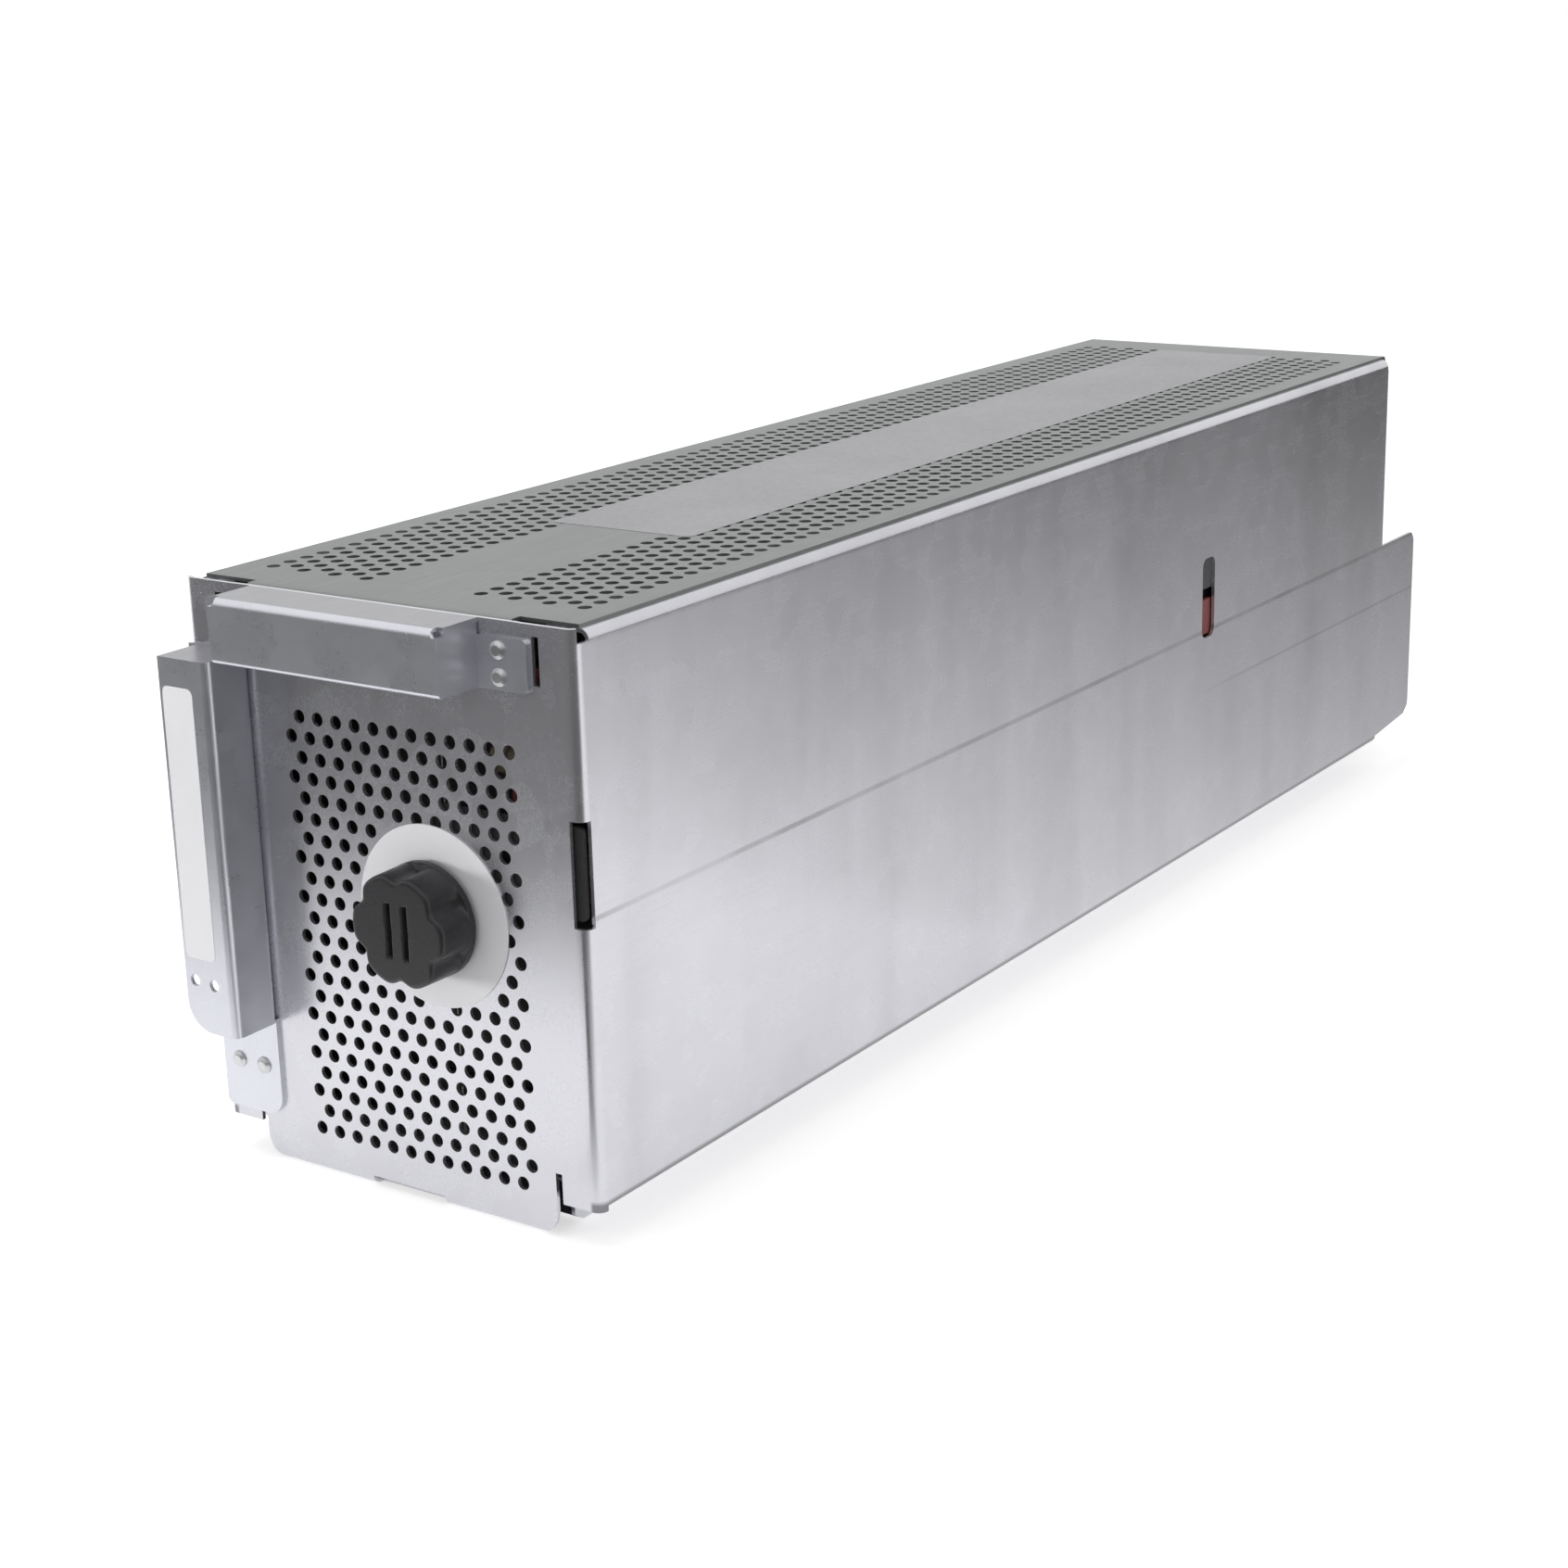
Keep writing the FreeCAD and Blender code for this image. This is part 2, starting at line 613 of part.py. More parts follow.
def locking_knob():
    """Moulded knob: round base, six flutes, rounded rim and a grip slot in its face."""
    r, front, back = knob_radius, -knob_front, knob_back
    base = back - knob_base_thickness
    neck = r - knob_base_step
    profile = outline("XY", [(0, back, 0), (r, back, 0), (r, base + knob_rim / 2, 0),
                             (r - knob_rim / 2, base, 0), (neck, base, 0),
                             (neck, front + knob_rim, 0), (neck - knob_rim, front, 0),
                             (0, front, 0)])
    body = Part.Face(profile).revolve(V(0, 0, 0), V(0, 1, 0), 360)
    cutters = []
    reach = neck - flute_depth + flute_radius
    for index in range(flute_count):
        turn = 2 * math.pi * index / flute_count
        cutters.append(rod(reach * math.cos(turn), reach * math.sin(turn), flute_radius,
                           front - 1, base))
    cutters.append(prism("XZ", rounded(-grip_slot_width / 2, grip_slot_width / 2,
                                       -grip_slot_length / 2, grip_slot_length / 2, 1.5),
                         front - 1, front + grip_slot_depth))
    cutters.append(rod(0, 0, shaft_radius + shaft_play, front + grip_slot_depth + 2, back + 1))
    knob = body.cut(cutters)
    knob.translate(V(knob_x, 0, knob_z))
    return knob


def knob_shaft():
    """Shaft from the knob to the retaining clip, with the clip's groove."""
    front = -knob_front + grip_slot_depth + 2.5
    shaft = rod(knob_x, knob_z, shaft_radius, front, shaft_back)
    groove = rod(knob_x, knob_z, shaft_radius + 1, cam_back, cam_back + clip_thickness)
    core = rod(knob_x, knob_z, shaft_radius - 0.7, cam_back - 1, cam_back + clip_thickness + 1)
    return shaft.cut(groove.cut(core))


def drive_cam():
    """Disc on the shaft whose pin drives the bolt; the pin leans back by half the turn."""
    disc = rod(knob_x, knob_z, cam_radius, cam_front, cam_back)
    pin_x = knob_x - crank_radius * math.sin(half_turn)
    pin_z = knob_z + crank_radius * math.cos(half_turn)
    pin = rod(pin_x, pin_z, pin_radius, bolt_front, cam_front + 1)
    return joined([disc, pin]).cut(rod(knob_x, knob_z, shaft_radius + shaft_play / 2,
                                       bolt_front - 1, cam_back + 1))


def retaining_clip():
    """Open clip in the shaft's groove, behind the cam."""
    ring = rod(knob_x, knob_z, clip_radius, cam_back + 0.05, cam_back + clip_thickness - 0.05)
    inner = shaft_radius - 0.6
    mouth = box(knob_x - inner * 0.9, knob_x + inner * 0.9, 0, shaft_back + 1,
                knob_z - clip_radius - 1, knob_z)
    return ring.cut([rod(knob_x, knob_z, inner, cam_back - 1, shaft_back + 1), mouth])


def stud_places():
    """Middles of the two studs that the bolt slides on."""
    inner = (knob_x + 12.5, bolt_slot_middle - 3.0)
    outer = (half_width - outer_stud_inset, bolt_slot_middle)
    return [inner, outer]


def latch_bolt():
    """Flat bolt behind the front panel, drawn back: yoke round the shaft, arm to the slot."""
    arm_low = bolt_slot_middle - bolt_height / 2
    arm_high = bolt_slot_middle + bolt_height / 2
    yoke_low = knob_z - shaft_radius - 4
    yoke_left = knob_x - crank_radius * 2 - 2
    yoke_right = knob_x + crank_radius * 2 + 6
    plate = prism("XZ", [(yoke_left, yoke_low, 4), (yoke_right, yoke_low, 4),
                         (yoke_right, arm_low, 2), (bolt_tip, arm_low, 1.5),
                         (bolt_tip, arm_high, 1.5), (knob_x + 4, arm_high, 6),
                         (yoke_left, knob_z + crank_radius + 6, 4)], bolt_front, bolt_back)
    half = bolt_travel / 2
    grip = shaft_radius + 0.5
    slot = pin_radius + pin_play
    cutters = [prism("XZ", rounded(knob_x - bolt_travel - grip, knob_x + grip,
                                   knob_z - grip, knob_z + grip, 1.0),
                     bolt_front - 1, bolt_back + 1)]
    pin_x = knob_x - half
    cutters.append(prism("XZ", rounded(pin_x - slot, pin_x + slot,
                                       knob_z + crank_radius * math.cos(half_turn) - slot,
                                       knob_z + crank_radius + slot, 1.2),
                         bolt_front - 1, bolt_back + 1))
    reach = stud_radius + 0.2
    for x, z in stud_places():
        cutters.append(prism("XZ", rounded(x - bolt_travel - reach, x + reach, z - reach,
                                           z + reach, 1.5), bolt_front - 1, bolt_back + 1))
    return plate.cut(cutters)


def guide_studs():
    """Headed studs welded to the back of the front panel."""
    studs = []
    for x, z in stud_places():
        shank = rod(x, z, stud_radius, sheet, bolt_back + 0.2)
        head = rod(x, z, stud_head_radius, bolt_back + 0.2, bolt_back + 0.2 + stud_head)
        studs.append(joined([shank, head]))
    return group(studs)


# ---- inside --------------------------------------------------------------------------------
def row_front(row):
    """Front face of a row of blocks."""
    return blocks_front + row * row_pitch


def block_section(left, inset):
    """Corners of a block's upright section with bevelled corners, drawn in by an inset."""
    x0, x1 = left + inset, left + block_width - inset
    z0, z1 = blocks_low + inset, blocks_high - inset
    c = block_corner
    return [(x0 + c, z0, 0), (x1 - c, z0, 0), (x1, z0 + c, 0), (x1, z1 - c, 0),
            (x1 - c, z1, 0), (x0 + c, z1, 0), (x0, z1 - c, 0), (x0, z0 + c, 0)]


def battery_block(row, side):
    """Sealed block standing on end, its lid and tabs towards the front."""
    left = separator / 2 if side > 0 else -blocks_side
    front = row_front(row)
    seam, groove_end = front + lid_depth, front + lid_depth + lid_groove
    lid = prism("XZ", block_section(left, 0), front, seam)
    neck = prism("XZ", block_section(left, lid_groove), seam, groove_end)
    case = prism("XZ", block_section(left, 0), groove_end, front + block_depth)
    x = side * tab_x
    tabs = []
    for z in (tab_low, tab_high):
        tabs.append(box(x - tab_width / 2, x + tab_width / 2, front - tab_reach, front,
                        z - tab_thickness / 2, z + tab_thickness / 2))
    return joined([case, neck, lid] + tabs)


def centre_separator():
    """Thin sheet between left and right blocks, notched where the lower links cross it."""
    sheet_low, sheet_high = blocks_low, blocks_high
    wall = box(-separator / 2, separator / 2, blocks_front, blocks_back, sheet_low, sheet_high)
    notches = []
    low = tab_low + tab_thickness / 2 - link_play
    for row in range(1, block_rows):
        y = row_front(row)
        notches.append(box(-separator, separator, y - tab_reach, y, low,
                           low + strap + 2 * link_play))
    return wall.cut(notches)


def bottom_links():
    """Insulated straps that join left and right block in each row."""
    links = []
    for row in range(block_rows):
        y = row_front(row)
        low = tab_low + tab_thickness / 2
        end = tab_x + tab_width / 2
        links.append(box(-end, end, y - tab_reach + 0.5, y - 0.5, low, low + strap))
    return group(links)


def top_links():
    """Insulated straps over a block to the row behind it, on alternate sides."""
    links = []
    for row in range(block_rows - 1):
        side = -1 if row % 2 == 0 else 1
        front = row_front(row) - block_gap / 2
        back = row_front(row + 1) - block_gap / 2
        low = tab_high + tab_thickness / 2
        arch = folded("YZ", [(back + strap / 2, low), (back + strap / 2, blocks_high + strap),
                             (front - strap / 2, blocks_high + strap), (front - strap / 2, low)],
                      strap, strap + 0.4, side * tab_x - strap_width / 2,
                      side * tab_x + strap_width / 2)
        links.append(arch)
    return group(links)


def bus_line():
    """Outer and inner face of the conductor along the right-hand wall."""
    outer = inner_half - seam_gap * 2.5
    return outer, outer - strap


def positive_busbar():
    """Red flat conductor: from the fuse to the right-hand wall and back to the connector."""
    outer, _ = bus_line()
    front = blocks_front - tab_reach - strap
    back = connector_front
    low = busbar_middle - busbar_height / 2
    end = connector_width / 2 - 8
    run = folded("XY", [(fuse_x() + riser_inset, front), (outer, front), (outer, back), (end, back)],
                 strap, strap + 0.5, low, low + busbar_height)
    riser_left = fuse_x() + riser_inset
    riser = box(riser_left, riser_left + strap_width, front, front + strap, low + 1,
                fuse_z() - fuse_radius)
    drop = box(end, end + strap_width, back - strap, back, connector_middle, low + 1)
    return joined([run, riser, drop])


def fuse_x():
    """Left end of the fuse."""
    return tab_x + strap_width / 2 + 2 - fuse_length / 2


def fuse_z():
    """Height of the fuse."""
    return tab_high - fuse_drop


def main_fuse():
    """Cartridge fuse between the first block's tab and the red conductor."""
    y = blocks_front - tab_reach - strap / 2
    x, z = fuse_x(), fuse_z()
    body = Part.makeCylinder(fuse_radius - 0.6, fuse_length, V(x, y, z), V(1, 0, 0))
    caps = []
    for start in (x, x + fuse_length - fuse_cap):
        caps.append(Part.makeCylinder(fuse_radius, fuse_cap, V(start, y, z), V(1, 0, 0)))
    return joined([body] + caps)


def fuse_strap():
    """Strap from the first block's upper tab down to the fuse's right-hand cap."""
    front = blocks_front - tab_reach - strap
    x = fuse_x() + fuse_length - fuse_cap / 2
    low = fuse_z() + fuse_radius
    upright = box(x - fuse_cap / 2, x + fuse_cap / 2, front, front + strap, low,
                  tab_high - tab_thickness / 2)
    shelf = box(tab_x - tab_width / 2, x + fuse_cap / 2, front, blocks_front - 0.5,
                tab_high - tab_thickness / 2 - strap, tab_high - tab_thickness / 2)
    return joined([upright, shelf])


def negative_busbar():
    """Black flat conductor: over the last left-hand block and down to the connector."""
    front = row_front(block_rows - 1) - block_gap / 2
    back = connector_front
    low = tab_high + tab_thickness / 2
    x0, x1 = -tab_x - strap_width / 2, -tab_x + strap_width / 2
    arch = folded("YZ", [(back, connector_middle), (back, blocks_high + strap),
                         (front - strap / 2, blocks_high + strap), (front - strap / 2, low)],
                  strap, strap + 0.4, x0, x1)
    foot = box(x0, -connector_width / 2 + 16, back - strap, back, connector_middle,
               connector_middle + strap_width)
    return joined([arch, foot])


# ---- back ----------------------------------------------------------------------------------
def rear_rivets():
    """Rivets of the rear panel."""
    low = tongue_top + rear_rivet_rise
    return [(side * fastener_x, z) for side in (-1, 1) for z in (low, low + rear_rivet_step)]


def cover_screws():
    """Screws of the cover's rear flange."""
    return [(side * fastener_x, body_height - rail_flange + screw_rise) for side in (-1, 1)]


def connector_screws():
    """Shoulder screws that let the connector float."""
    x = connector_width / 2 + connector_flange / 2
    return [(side * x, connector_middle) for side in (-1, 1)]


def power_connector():
    """Housing of the blind-mate connector with its guide funnel and sockets."""
    half, tall = connector_width / 2, connector_height / 2
    back = rear_panel_back
    flange = prism("XZ", rounded(-half - connector_flange, half + connector_flange,
                                 connector_middle - tall, connector_middle + tall, 3),
                   back, back + connector_plate)
    body = prism("XZ", rounded(-half, half, connector_middle - tall + 2,
                               connector_middle + tall - 2, 4), back, back + connector_reach)
    inset = connector_edge + opening_play
    inside = prism("XZ", rounded(-half + inset, half - inset, connector_middle - tall + inset,
                                 connector_middle + tall - inset, 2),
                   connector_front, back + 1)
    cutters = []
    for index in range(socket_count):
        x = (index - (socket_count - 1) / 2) * socket_pitch
        cutters.append(box(x - socket_width / 2, x + socket_width / 2,
                           back + connector_reach - socket_depth, back + connector_reach + 1,
                           connector_middle - socket_height / 2,
                           connector_middle + socket_height / 2))
    for x, z in connector_screws():
        cutters.append(rod(x, z, screw_radius + 0.2, back - 1, back + connector_plate + 1))
    return joined([flange, body, inside]).cut(cutters)


def power_contacts():
    """Flat contacts standing in the sockets."""
    contacts = []
    floor = rear_panel_back + connector_reach - socket_depth
    for index in range(socket_count):
        x = (index - (socket_count - 1) / 2) * socket_pitch
        contacts.append(box(x - contact_thickness / 2, x + contact_thickness / 2, floor,
                            floor + socket_depth - contact_setback, connector_middle - contact_width / 2,
                            connector_middle + contact_width / 2))
    return group(contacts)


def signal_connector():
    """Small connector for the sensor lines."""
    half, tall = signal_width / 2, signal_height / 2
    back = rear_panel_back
    flange = prism("XZ", rounded(-half, half, signal_middle - tall, signal_middle + tall, 2),
                   back, back + 2)
    x = half - signal_edge - signal_play
    z = tall - signal_lap - signal_play
    body = prism("XZ", rounded(-x, x, signal_middle - z, signal_middle + z, 1),
                 rear_panel_front, back + signal_reach)
    x, z = x - signal_wall, z - signal_wall
    mouth = box(-x, x, back + 4, back + signal_reach + 1, signal_middle - z, signal_middle + z)
    return joined([flange, body]).cut(mouth)


def pan_screw(x, z, face, inward):
    """Screw with a round head on a rearward face."""
    head = rod(x, z, screw_head, face, face + screw_height)
    shank = rod(x, z, rivet_shank / 2, face - inward, face + 0.5)
    half = screw_slot / 2
    slot = box(x - screw_head, x + screw_head, face + screw_height - screw_slot,
               face + screw_height + 1, z - half, z + half)
    return joined([head, shank]).cut(slot)


# ---- build ---------------------------------------------------------------------------------
os.makedirs("parts", exist_ok=True)

save("case_wrap", case_wrap())
save("keel_channel", keel_channel())
save("top_cover", top_cover())
save("rear_panel", rear_panel())
save("battery_deck", battery_deck())
save("top_handle", top_handle())
save("side_handle", side_handle())
save("top_handle_rivets", group([blind_rivet(x, z, -sheet, sheet, -1) for x, z in top_rivets()]))
save("side_handle_rivets", group([blind_rivet(x, z, -sheet, sheet, -1)
                                  for x, z in side_rivets()]))
save("rear_rivets", group([blind_rivet(x, z, rear_panel_front, rear_face, 1)
                           for x, z in rear_rivets()]))
save("cover_screws", group([pan_screw(x, z, rear_face + cover_sheet,
                                     cover_sheet + 2 * sheet + thread_end)
                            for x, z in cover_screws()]))

save("escutcheon", escutcheon())
save("knob_bush", knob_bush())
save("locking_knob", locking_knob())
save("knob_shaft", knob_shaft())
save("drive_cam", drive_cam())
save("retaining_clip", retaining_clip())
save("latch_bolt", latch_bolt())
save("guide_studs", guide_studs())

number = 0
for row in range(block_rows):
    for side in (-1, 1):
        number += 1
        save("battery_%02d" % number, battery_block(row, side))
save("bottom_links", bottom_links())
save("top_links", top_links())
save("positive_busbar", positive_busbar())
save("fuse_strap", fuse_strap())
save("main_fuse", main_fuse())
save("negative_busbar", negative_busbar())

save("bottom_insulator", box(-deck_half, deck_half, blocks_front, blocks_back,
                             deck_top, blocks_low))
save("centre_separator", centre_separator())
save("top_foam", box(-foam_width / 2, foam_width / 2, blocks_front, blocks_back,
                     blocks_high, flange_top))
pad_low = busbar_middle + busbar_height / 2 + 4
for name, side in (("left_side_pad", -1), ("right_side_pad", 1)):
    pad = box(min(side * blocks_side, side * inner_half), max(side * blocks_side, side * inner_half),
              blocks_front + 2, blocks_back - 2, pad_low, pad_low + pad_height)
    save(name, pad)
save("rear_foam", box(-tab_x + strap_width, tab_x - strap_width, blocks_back, rear_panel_front,
                      signal_middle + signal_height, blocks_high - rear_foam_inset))

save("power_connector", power_connector())
save("power_contacts", power_contacts())
save("connector_screws", group([pan_screw(x, z, rear_panel_back + connector_plate,
                                         connector_plate + sheet + thread_end)
                                for x, z in connector_screws()]))
save("signal_connector", signal_connector())
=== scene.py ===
# %% [markdown]
# A battery cartridge slides into a UPS like a drawer into a chest. Its case is folded from galvanised
# sheet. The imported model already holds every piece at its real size, so this lesson only dresses it:
# it lays truly round holes and soft bends over the sheet metal, and gives each piece its finish.

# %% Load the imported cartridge
import json
import math

import bmesh
import bpy
import numpy as np
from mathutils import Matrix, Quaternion, Vector


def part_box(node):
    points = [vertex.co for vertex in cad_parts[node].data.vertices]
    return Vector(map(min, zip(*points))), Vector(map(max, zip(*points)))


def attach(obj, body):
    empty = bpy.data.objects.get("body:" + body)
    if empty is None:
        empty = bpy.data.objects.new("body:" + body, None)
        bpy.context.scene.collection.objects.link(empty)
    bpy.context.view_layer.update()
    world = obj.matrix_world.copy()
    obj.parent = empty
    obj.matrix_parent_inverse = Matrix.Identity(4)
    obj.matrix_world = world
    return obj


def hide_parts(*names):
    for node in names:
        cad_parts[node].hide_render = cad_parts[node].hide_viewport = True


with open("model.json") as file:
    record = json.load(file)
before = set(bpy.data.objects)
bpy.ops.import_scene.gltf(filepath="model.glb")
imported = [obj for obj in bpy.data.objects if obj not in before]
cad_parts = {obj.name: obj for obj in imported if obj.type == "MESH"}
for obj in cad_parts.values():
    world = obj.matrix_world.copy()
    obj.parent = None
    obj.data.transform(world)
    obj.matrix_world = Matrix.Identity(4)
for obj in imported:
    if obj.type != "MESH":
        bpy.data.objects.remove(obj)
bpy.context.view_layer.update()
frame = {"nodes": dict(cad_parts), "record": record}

MM = 0.001
nodes = frame["nodes"]
wrap_low, wrap_high = (np.array(corner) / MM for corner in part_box("case_wrap"))
front_y = wrap_low[1]
print("front face at y =", round(front_y, 2), "mm, height", round(wrap_high[2], 2))

# %% [markdown]
# Every size below is in millimetres, with y counted from the front face. The widths and lengths come
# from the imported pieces. The rest repeats what a sheet-metal shop would read off the drawing: gauge,
# bend radius, hole pitch and the places of slots and notches.

# %% Sizes of the sheet metal
half_width = wrap_high[0]
height = wrap_high[2]
cheek_end = wrap_high[1] - front_y
sheet = 1.2
bend = 3.0
arc = bend * math.pi / 2
rail_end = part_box("keel_channel")[1].y / MM - front_y
keel_margin = 13.1  # side of the keel beyond the power connector's edge
keel_half = keel_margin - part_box("power_connector")[0].x / MM
shoulder = 10.8     # height of the shoulder over the ground
cover_gauge = 1.0
flange_top = height - cover_gauge
pitch = 6.8
row_step = pitch * math.sqrt(3) / 2
knob_low, knob_high = (np.array(corner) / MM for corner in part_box("locking_knob"))
knob_x, knob_z = (knob_low[0] + knob_high[0]) / 2, (knob_low[2] + knob_high[2]) / 2
disc_radius = (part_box("escutcheon")[1].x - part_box("escutcheon")[0].x) / MM / 2
print("case", 2 * half_width, "wide; keel", 2 * keel_half, "wide; knob at", knob_x, knob_z)

# %% [markdown]
# A punched sheet could be cut with booleans, but a thousand holes make that slow and ragged. Here the
# sheet is a flat grid of cells instead. Where a hole goes, four cells give way to eight small faces
# that join their edge to a ring of points. A second function then folds the flat sheet, as a press
# brake would, and a Solidify modifier gives it its gauge.

# %% A punched and folded sheet
def lines(*stretches):
    """Grid lines from stretches (start, end, number of steps), sorted, each kept once."""
    every = np.concatenate([np.linspace(start, end, steps + 1) for start, end, steps in stretches])
    return np.unique(np.round(every, 4))


def window_corners(u0, u1, v0, v1, radius_u, radius_v, first_number, steps=5):
    """Fillets of a rounded window: each is a corner point, then a quarter ellipse of those radii."""
    points, faces = [], []
    for cu, su in ((u0, 1), (u1, -1)):
        for cv, sv in ((v0, 1), (v1, -1)):
            turn = np.linspace(0, math.pi / 2, steps + 1)
            u = cu + su * radius_u * (1 - np.sin(turn))
            v = cv + sv * radius_v * (1 - np.cos(turn))
            start = first_number + len(points)
            points += [(cu, cv)] + list(zip(u, v))
            ring = list(range(start, start + steps + 2))
            faces.append(ring if su * sv > 0 else ring[::-1])
    return points, faces


def punched_sheet(name, us, vs, keep, place, holes=None, radius=2.0, segments=2, windows=(), gauge=sheet):
    """Sheet metal as a surface of two parameters.

    Lines us and vs make the cells, and keep(u, v) says which cells are metal. A hole at a grid
    crossing replaces the four cells round it: their eight edge points are joined to a ring,
    centre plus radius times (cosine, sine) of evenly spaced angles. place(u, v) folds the sheet.
    """
    columns, rows = len(us), len(vs)
    number = np.arange(columns * rows).reshape(columns, rows)
    flat = [np.stack(np.meshgrid(us, vs, indexing="ij"), -1).reshape(-1, 2)]
    count = columns * rows
    solid = keep(*np.meshgrid((us[1:] + us[:-1]) / 2, (vs[1:] + vs[:-1]) / 2, indexing="ij"))
    faces = []
    if holes is not None:
        i = np.abs(us[:, None] - holes[:, 0]).argmin(0)
        j = np.abs(vs[:, None] - holes[:, 1]).argmin(0)
        for di in (-1, 0):
            for dj in (-1, 0):
                solid[i + di, j + dj] = False
        around_u = np.array([1, 1, 0, -1, -1, -1, 0, 1])
        around_v = np.array([0, 1, 1, 1, 0, -1, -1, -1])
        edge = number[i[:, None] + around_u, j[:, None] + around_v]
        turn = 2 * math.pi * np.arange(8 * segments) / (8 * segments)
        circle = np.stack([np.cos(turn), np.sin(turn)], 1)
        flat.append((holes[:, None, :] + radius * circle[None]).reshape(-1, 2))
        ring = count + np.arange(len(holes) * 8 * segments).reshape(len(holes), -1)
        count += ring.size
        for k in range(8):
            back = (np.arange((k + 1) * segments, k * segments - 1, -1)) % (8 * segments)
            faces += np.hstack([edge[:, [k, (k + 1) % 8]], ring[:, back]]).tolist()
    i, j = np.nonzero(solid)
    faces += np.stack([number[i, j], number[i + 1, j], number[i + 1, j + 1], number[i, j + 1]], 1).tolist()
    for window in windows:
        points, fillets = window_corners(*window, count)
        flat.append(np.array(points))
        count += len(points)
        faces += fillets
    u, v = np.concatenate(flat).T
    x, y, z = place(u, v)
    piece = new_piece(name, x, y, z, faces)
    weld(piece.data)
    thick = piece.modifiers.new("gauge", "SOLIDIFY")
    thick.thickness = gauge * MM
    thick.offset = -1
    settle(piece)
    print(name, "has", len(piece.data.polygons), "faces")
    return piece


# %% [markdown]
# Small helpers. One makes a piece from points in millimetres. One merges points that lie on each other
# and drops unused ones, and one turns faces outwards. The last turns the modifiers into plain mesh and
# marks as sharp only the edges that turn by more than 35 degrees: bends then shade smoothly and cut
# edges stay crisp.

# %% New pieces, welding and settling
def new_piece(name, x, y, z, faces):
    """Object of points given in millimetres, y from the front face, and faces of point numbers."""
    points = np.stack([x, y + front_y, z], 1) * MM
    mesh = bpy.data.meshes.new(name)
    mesh.from_pydata(points.tolist(), [], faces)
    piece = bpy.data.objects.new(name, mesh)
    bpy.context.scene.collection.objects.link(piece)
    return piece


def reworked(mesh, change):
    """Open the mesh as a bmesh, let change(work) edit it, and write it back."""
    work = bmesh.new()
    work.from_mesh(mesh)
    change(work)
    work.to_mesh(mesh)
    work.free()


def merge_points(work):
    """Merge points closer than two thousandths of a millimetre, then drop points without a face."""
    bmesh.ops.remove_doubles(work, verts=work.verts, dist=0.002 * MM)
    loose = [vert for vert in work.verts if not vert.link_faces]
    bmesh.ops.delete(work, geom=loose, context="VERTS")


def face_outwards(work):
    """Turn every face of a closed shape outwards."""
    bmesh.ops.recalc_face_normals(work, faces=work.faces)


def join_flat(work):
    """Join the triangles of each flat face."""
    bmesh.ops.dissolve_limit(work, angle_limit=math.radians(0.5), verts=work.verts, edges=work.edges)


def weld(mesh):
    """Merge double points, drop loose ones and collapsed faces."""
    reworked(mesh, merge_points)


def settle(piece, angle=35):
    """Apply the modifiers, then shade smooth with sharp edges beyond that angle in degrees."""
    graph = bpy.context.evaluated_depsgraph_get()
    mesh = bpy.data.meshes.new_from_object(piece.evaluated_get(graph))
    piece.modifiers.clear()
    piece.data = mesh
    mesh.polygons.foreach_set("use_smooth", np.ones(len(mesh.polygons), bool))
    mesh.set_sharp_from_angle(angle=math.radians(angle))
    return piece


# %% [markdown]
# The case's front and sides are one sheet. Parameter u runs round the plan of the case, from the left
# rear corner past the front to the right rear corner, and v runs up. The front's field of holes fixes
# the grid lines there, so the side walls read their own heights off the same lines through a table
# of knots: this keeps the whole sheet one connected grid.

# %% Grid of the case
flat_half = half_width - bend
corner_u = flat_half + arc
field_x = 6.8
field_top = 137.5
field_columns, field_rows = 12, 22
u_field = field_x - pitch * (field_columns + 0.5) / 2 + pitch / 2 * np.arange(2 * field_columns + 2)
v_field = field_top - row_step / 2 * np.arange(-1, 2 * field_rows)
low_line = v_field[-1]
lip_corner = keel_half - u_field[-2]
slot_low, slot_high = 91.9, 121.5
bolt_slot_front = half_width - 4.6  # x on the front where the bolt's slot begins
bolt_slot_back = 3.3                # y on the side where it ends
side_slot = (365.0, 375.0)          # y of the slot in the right-hand wall
corner_round = 3.0
foot_slit = 2.2                     # width of the slit beside the lip
tab_slit = (1.3, 3.5)               # slit beside the top handle's tab, beyond the keel's side
tab_slit_low = 156.5
corner_gap = 3.2                    # y where the side wall starts above and below the corner
flange_start = 6.0                  # y where the top flange starts
flange_width = 11.0                 # flat part of the top and rear flanges
flange_rise = 168.0                 # top of the rear flange
shoulder_width = 10.4               # flat part of the shoulder over the keel
cheek_top = 95.3
cheek_step = 0.4                    # cut between a cheek and the rear flange above it
lip_notch = 15.3                    # half width of the notch in the lip
print("field of holes:", np.round([u_field[0], u_field[-1], v_field[-1], v_field[0]], 2))


def side_u(y):
    """u of a place on the right-hand wall at distance y behind the front face."""
    return corner_u + y - bend


rear_u = side_u(rail_end)
flange_u = rear_u + arc + flange_width
front_lines = [keel_half, keel_half + tab_slit[0], keel_half + foot_slit, keel_half + tab_slit[1],
               bolt_slot_front, 52.0]
side_lines = side_u(np.array([corner_gap, bolt_slot_back, flange_start, 120.0, 240.0, side_slot[0],
                              side_slot[0] + corner_round, side_slot[1] - corner_round,
                              side_slot[1], 450.0]))
cheek_lines = side_u(cheek_end - np.array([14, 9, 4, 3, 2, 1, 0]))
one_side = np.concatenate([front_lines, lines((flat_half, corner_u, 6)), side_lines,
                           lines((rear_u, rear_u + arc, 6)), [flange_u], cheek_lines])
left_extra = [-u_field[-2], -42.0]
case_u = np.unique(np.round(np.concatenate([u_field, one_side, -one_side, left_extra]), 4))
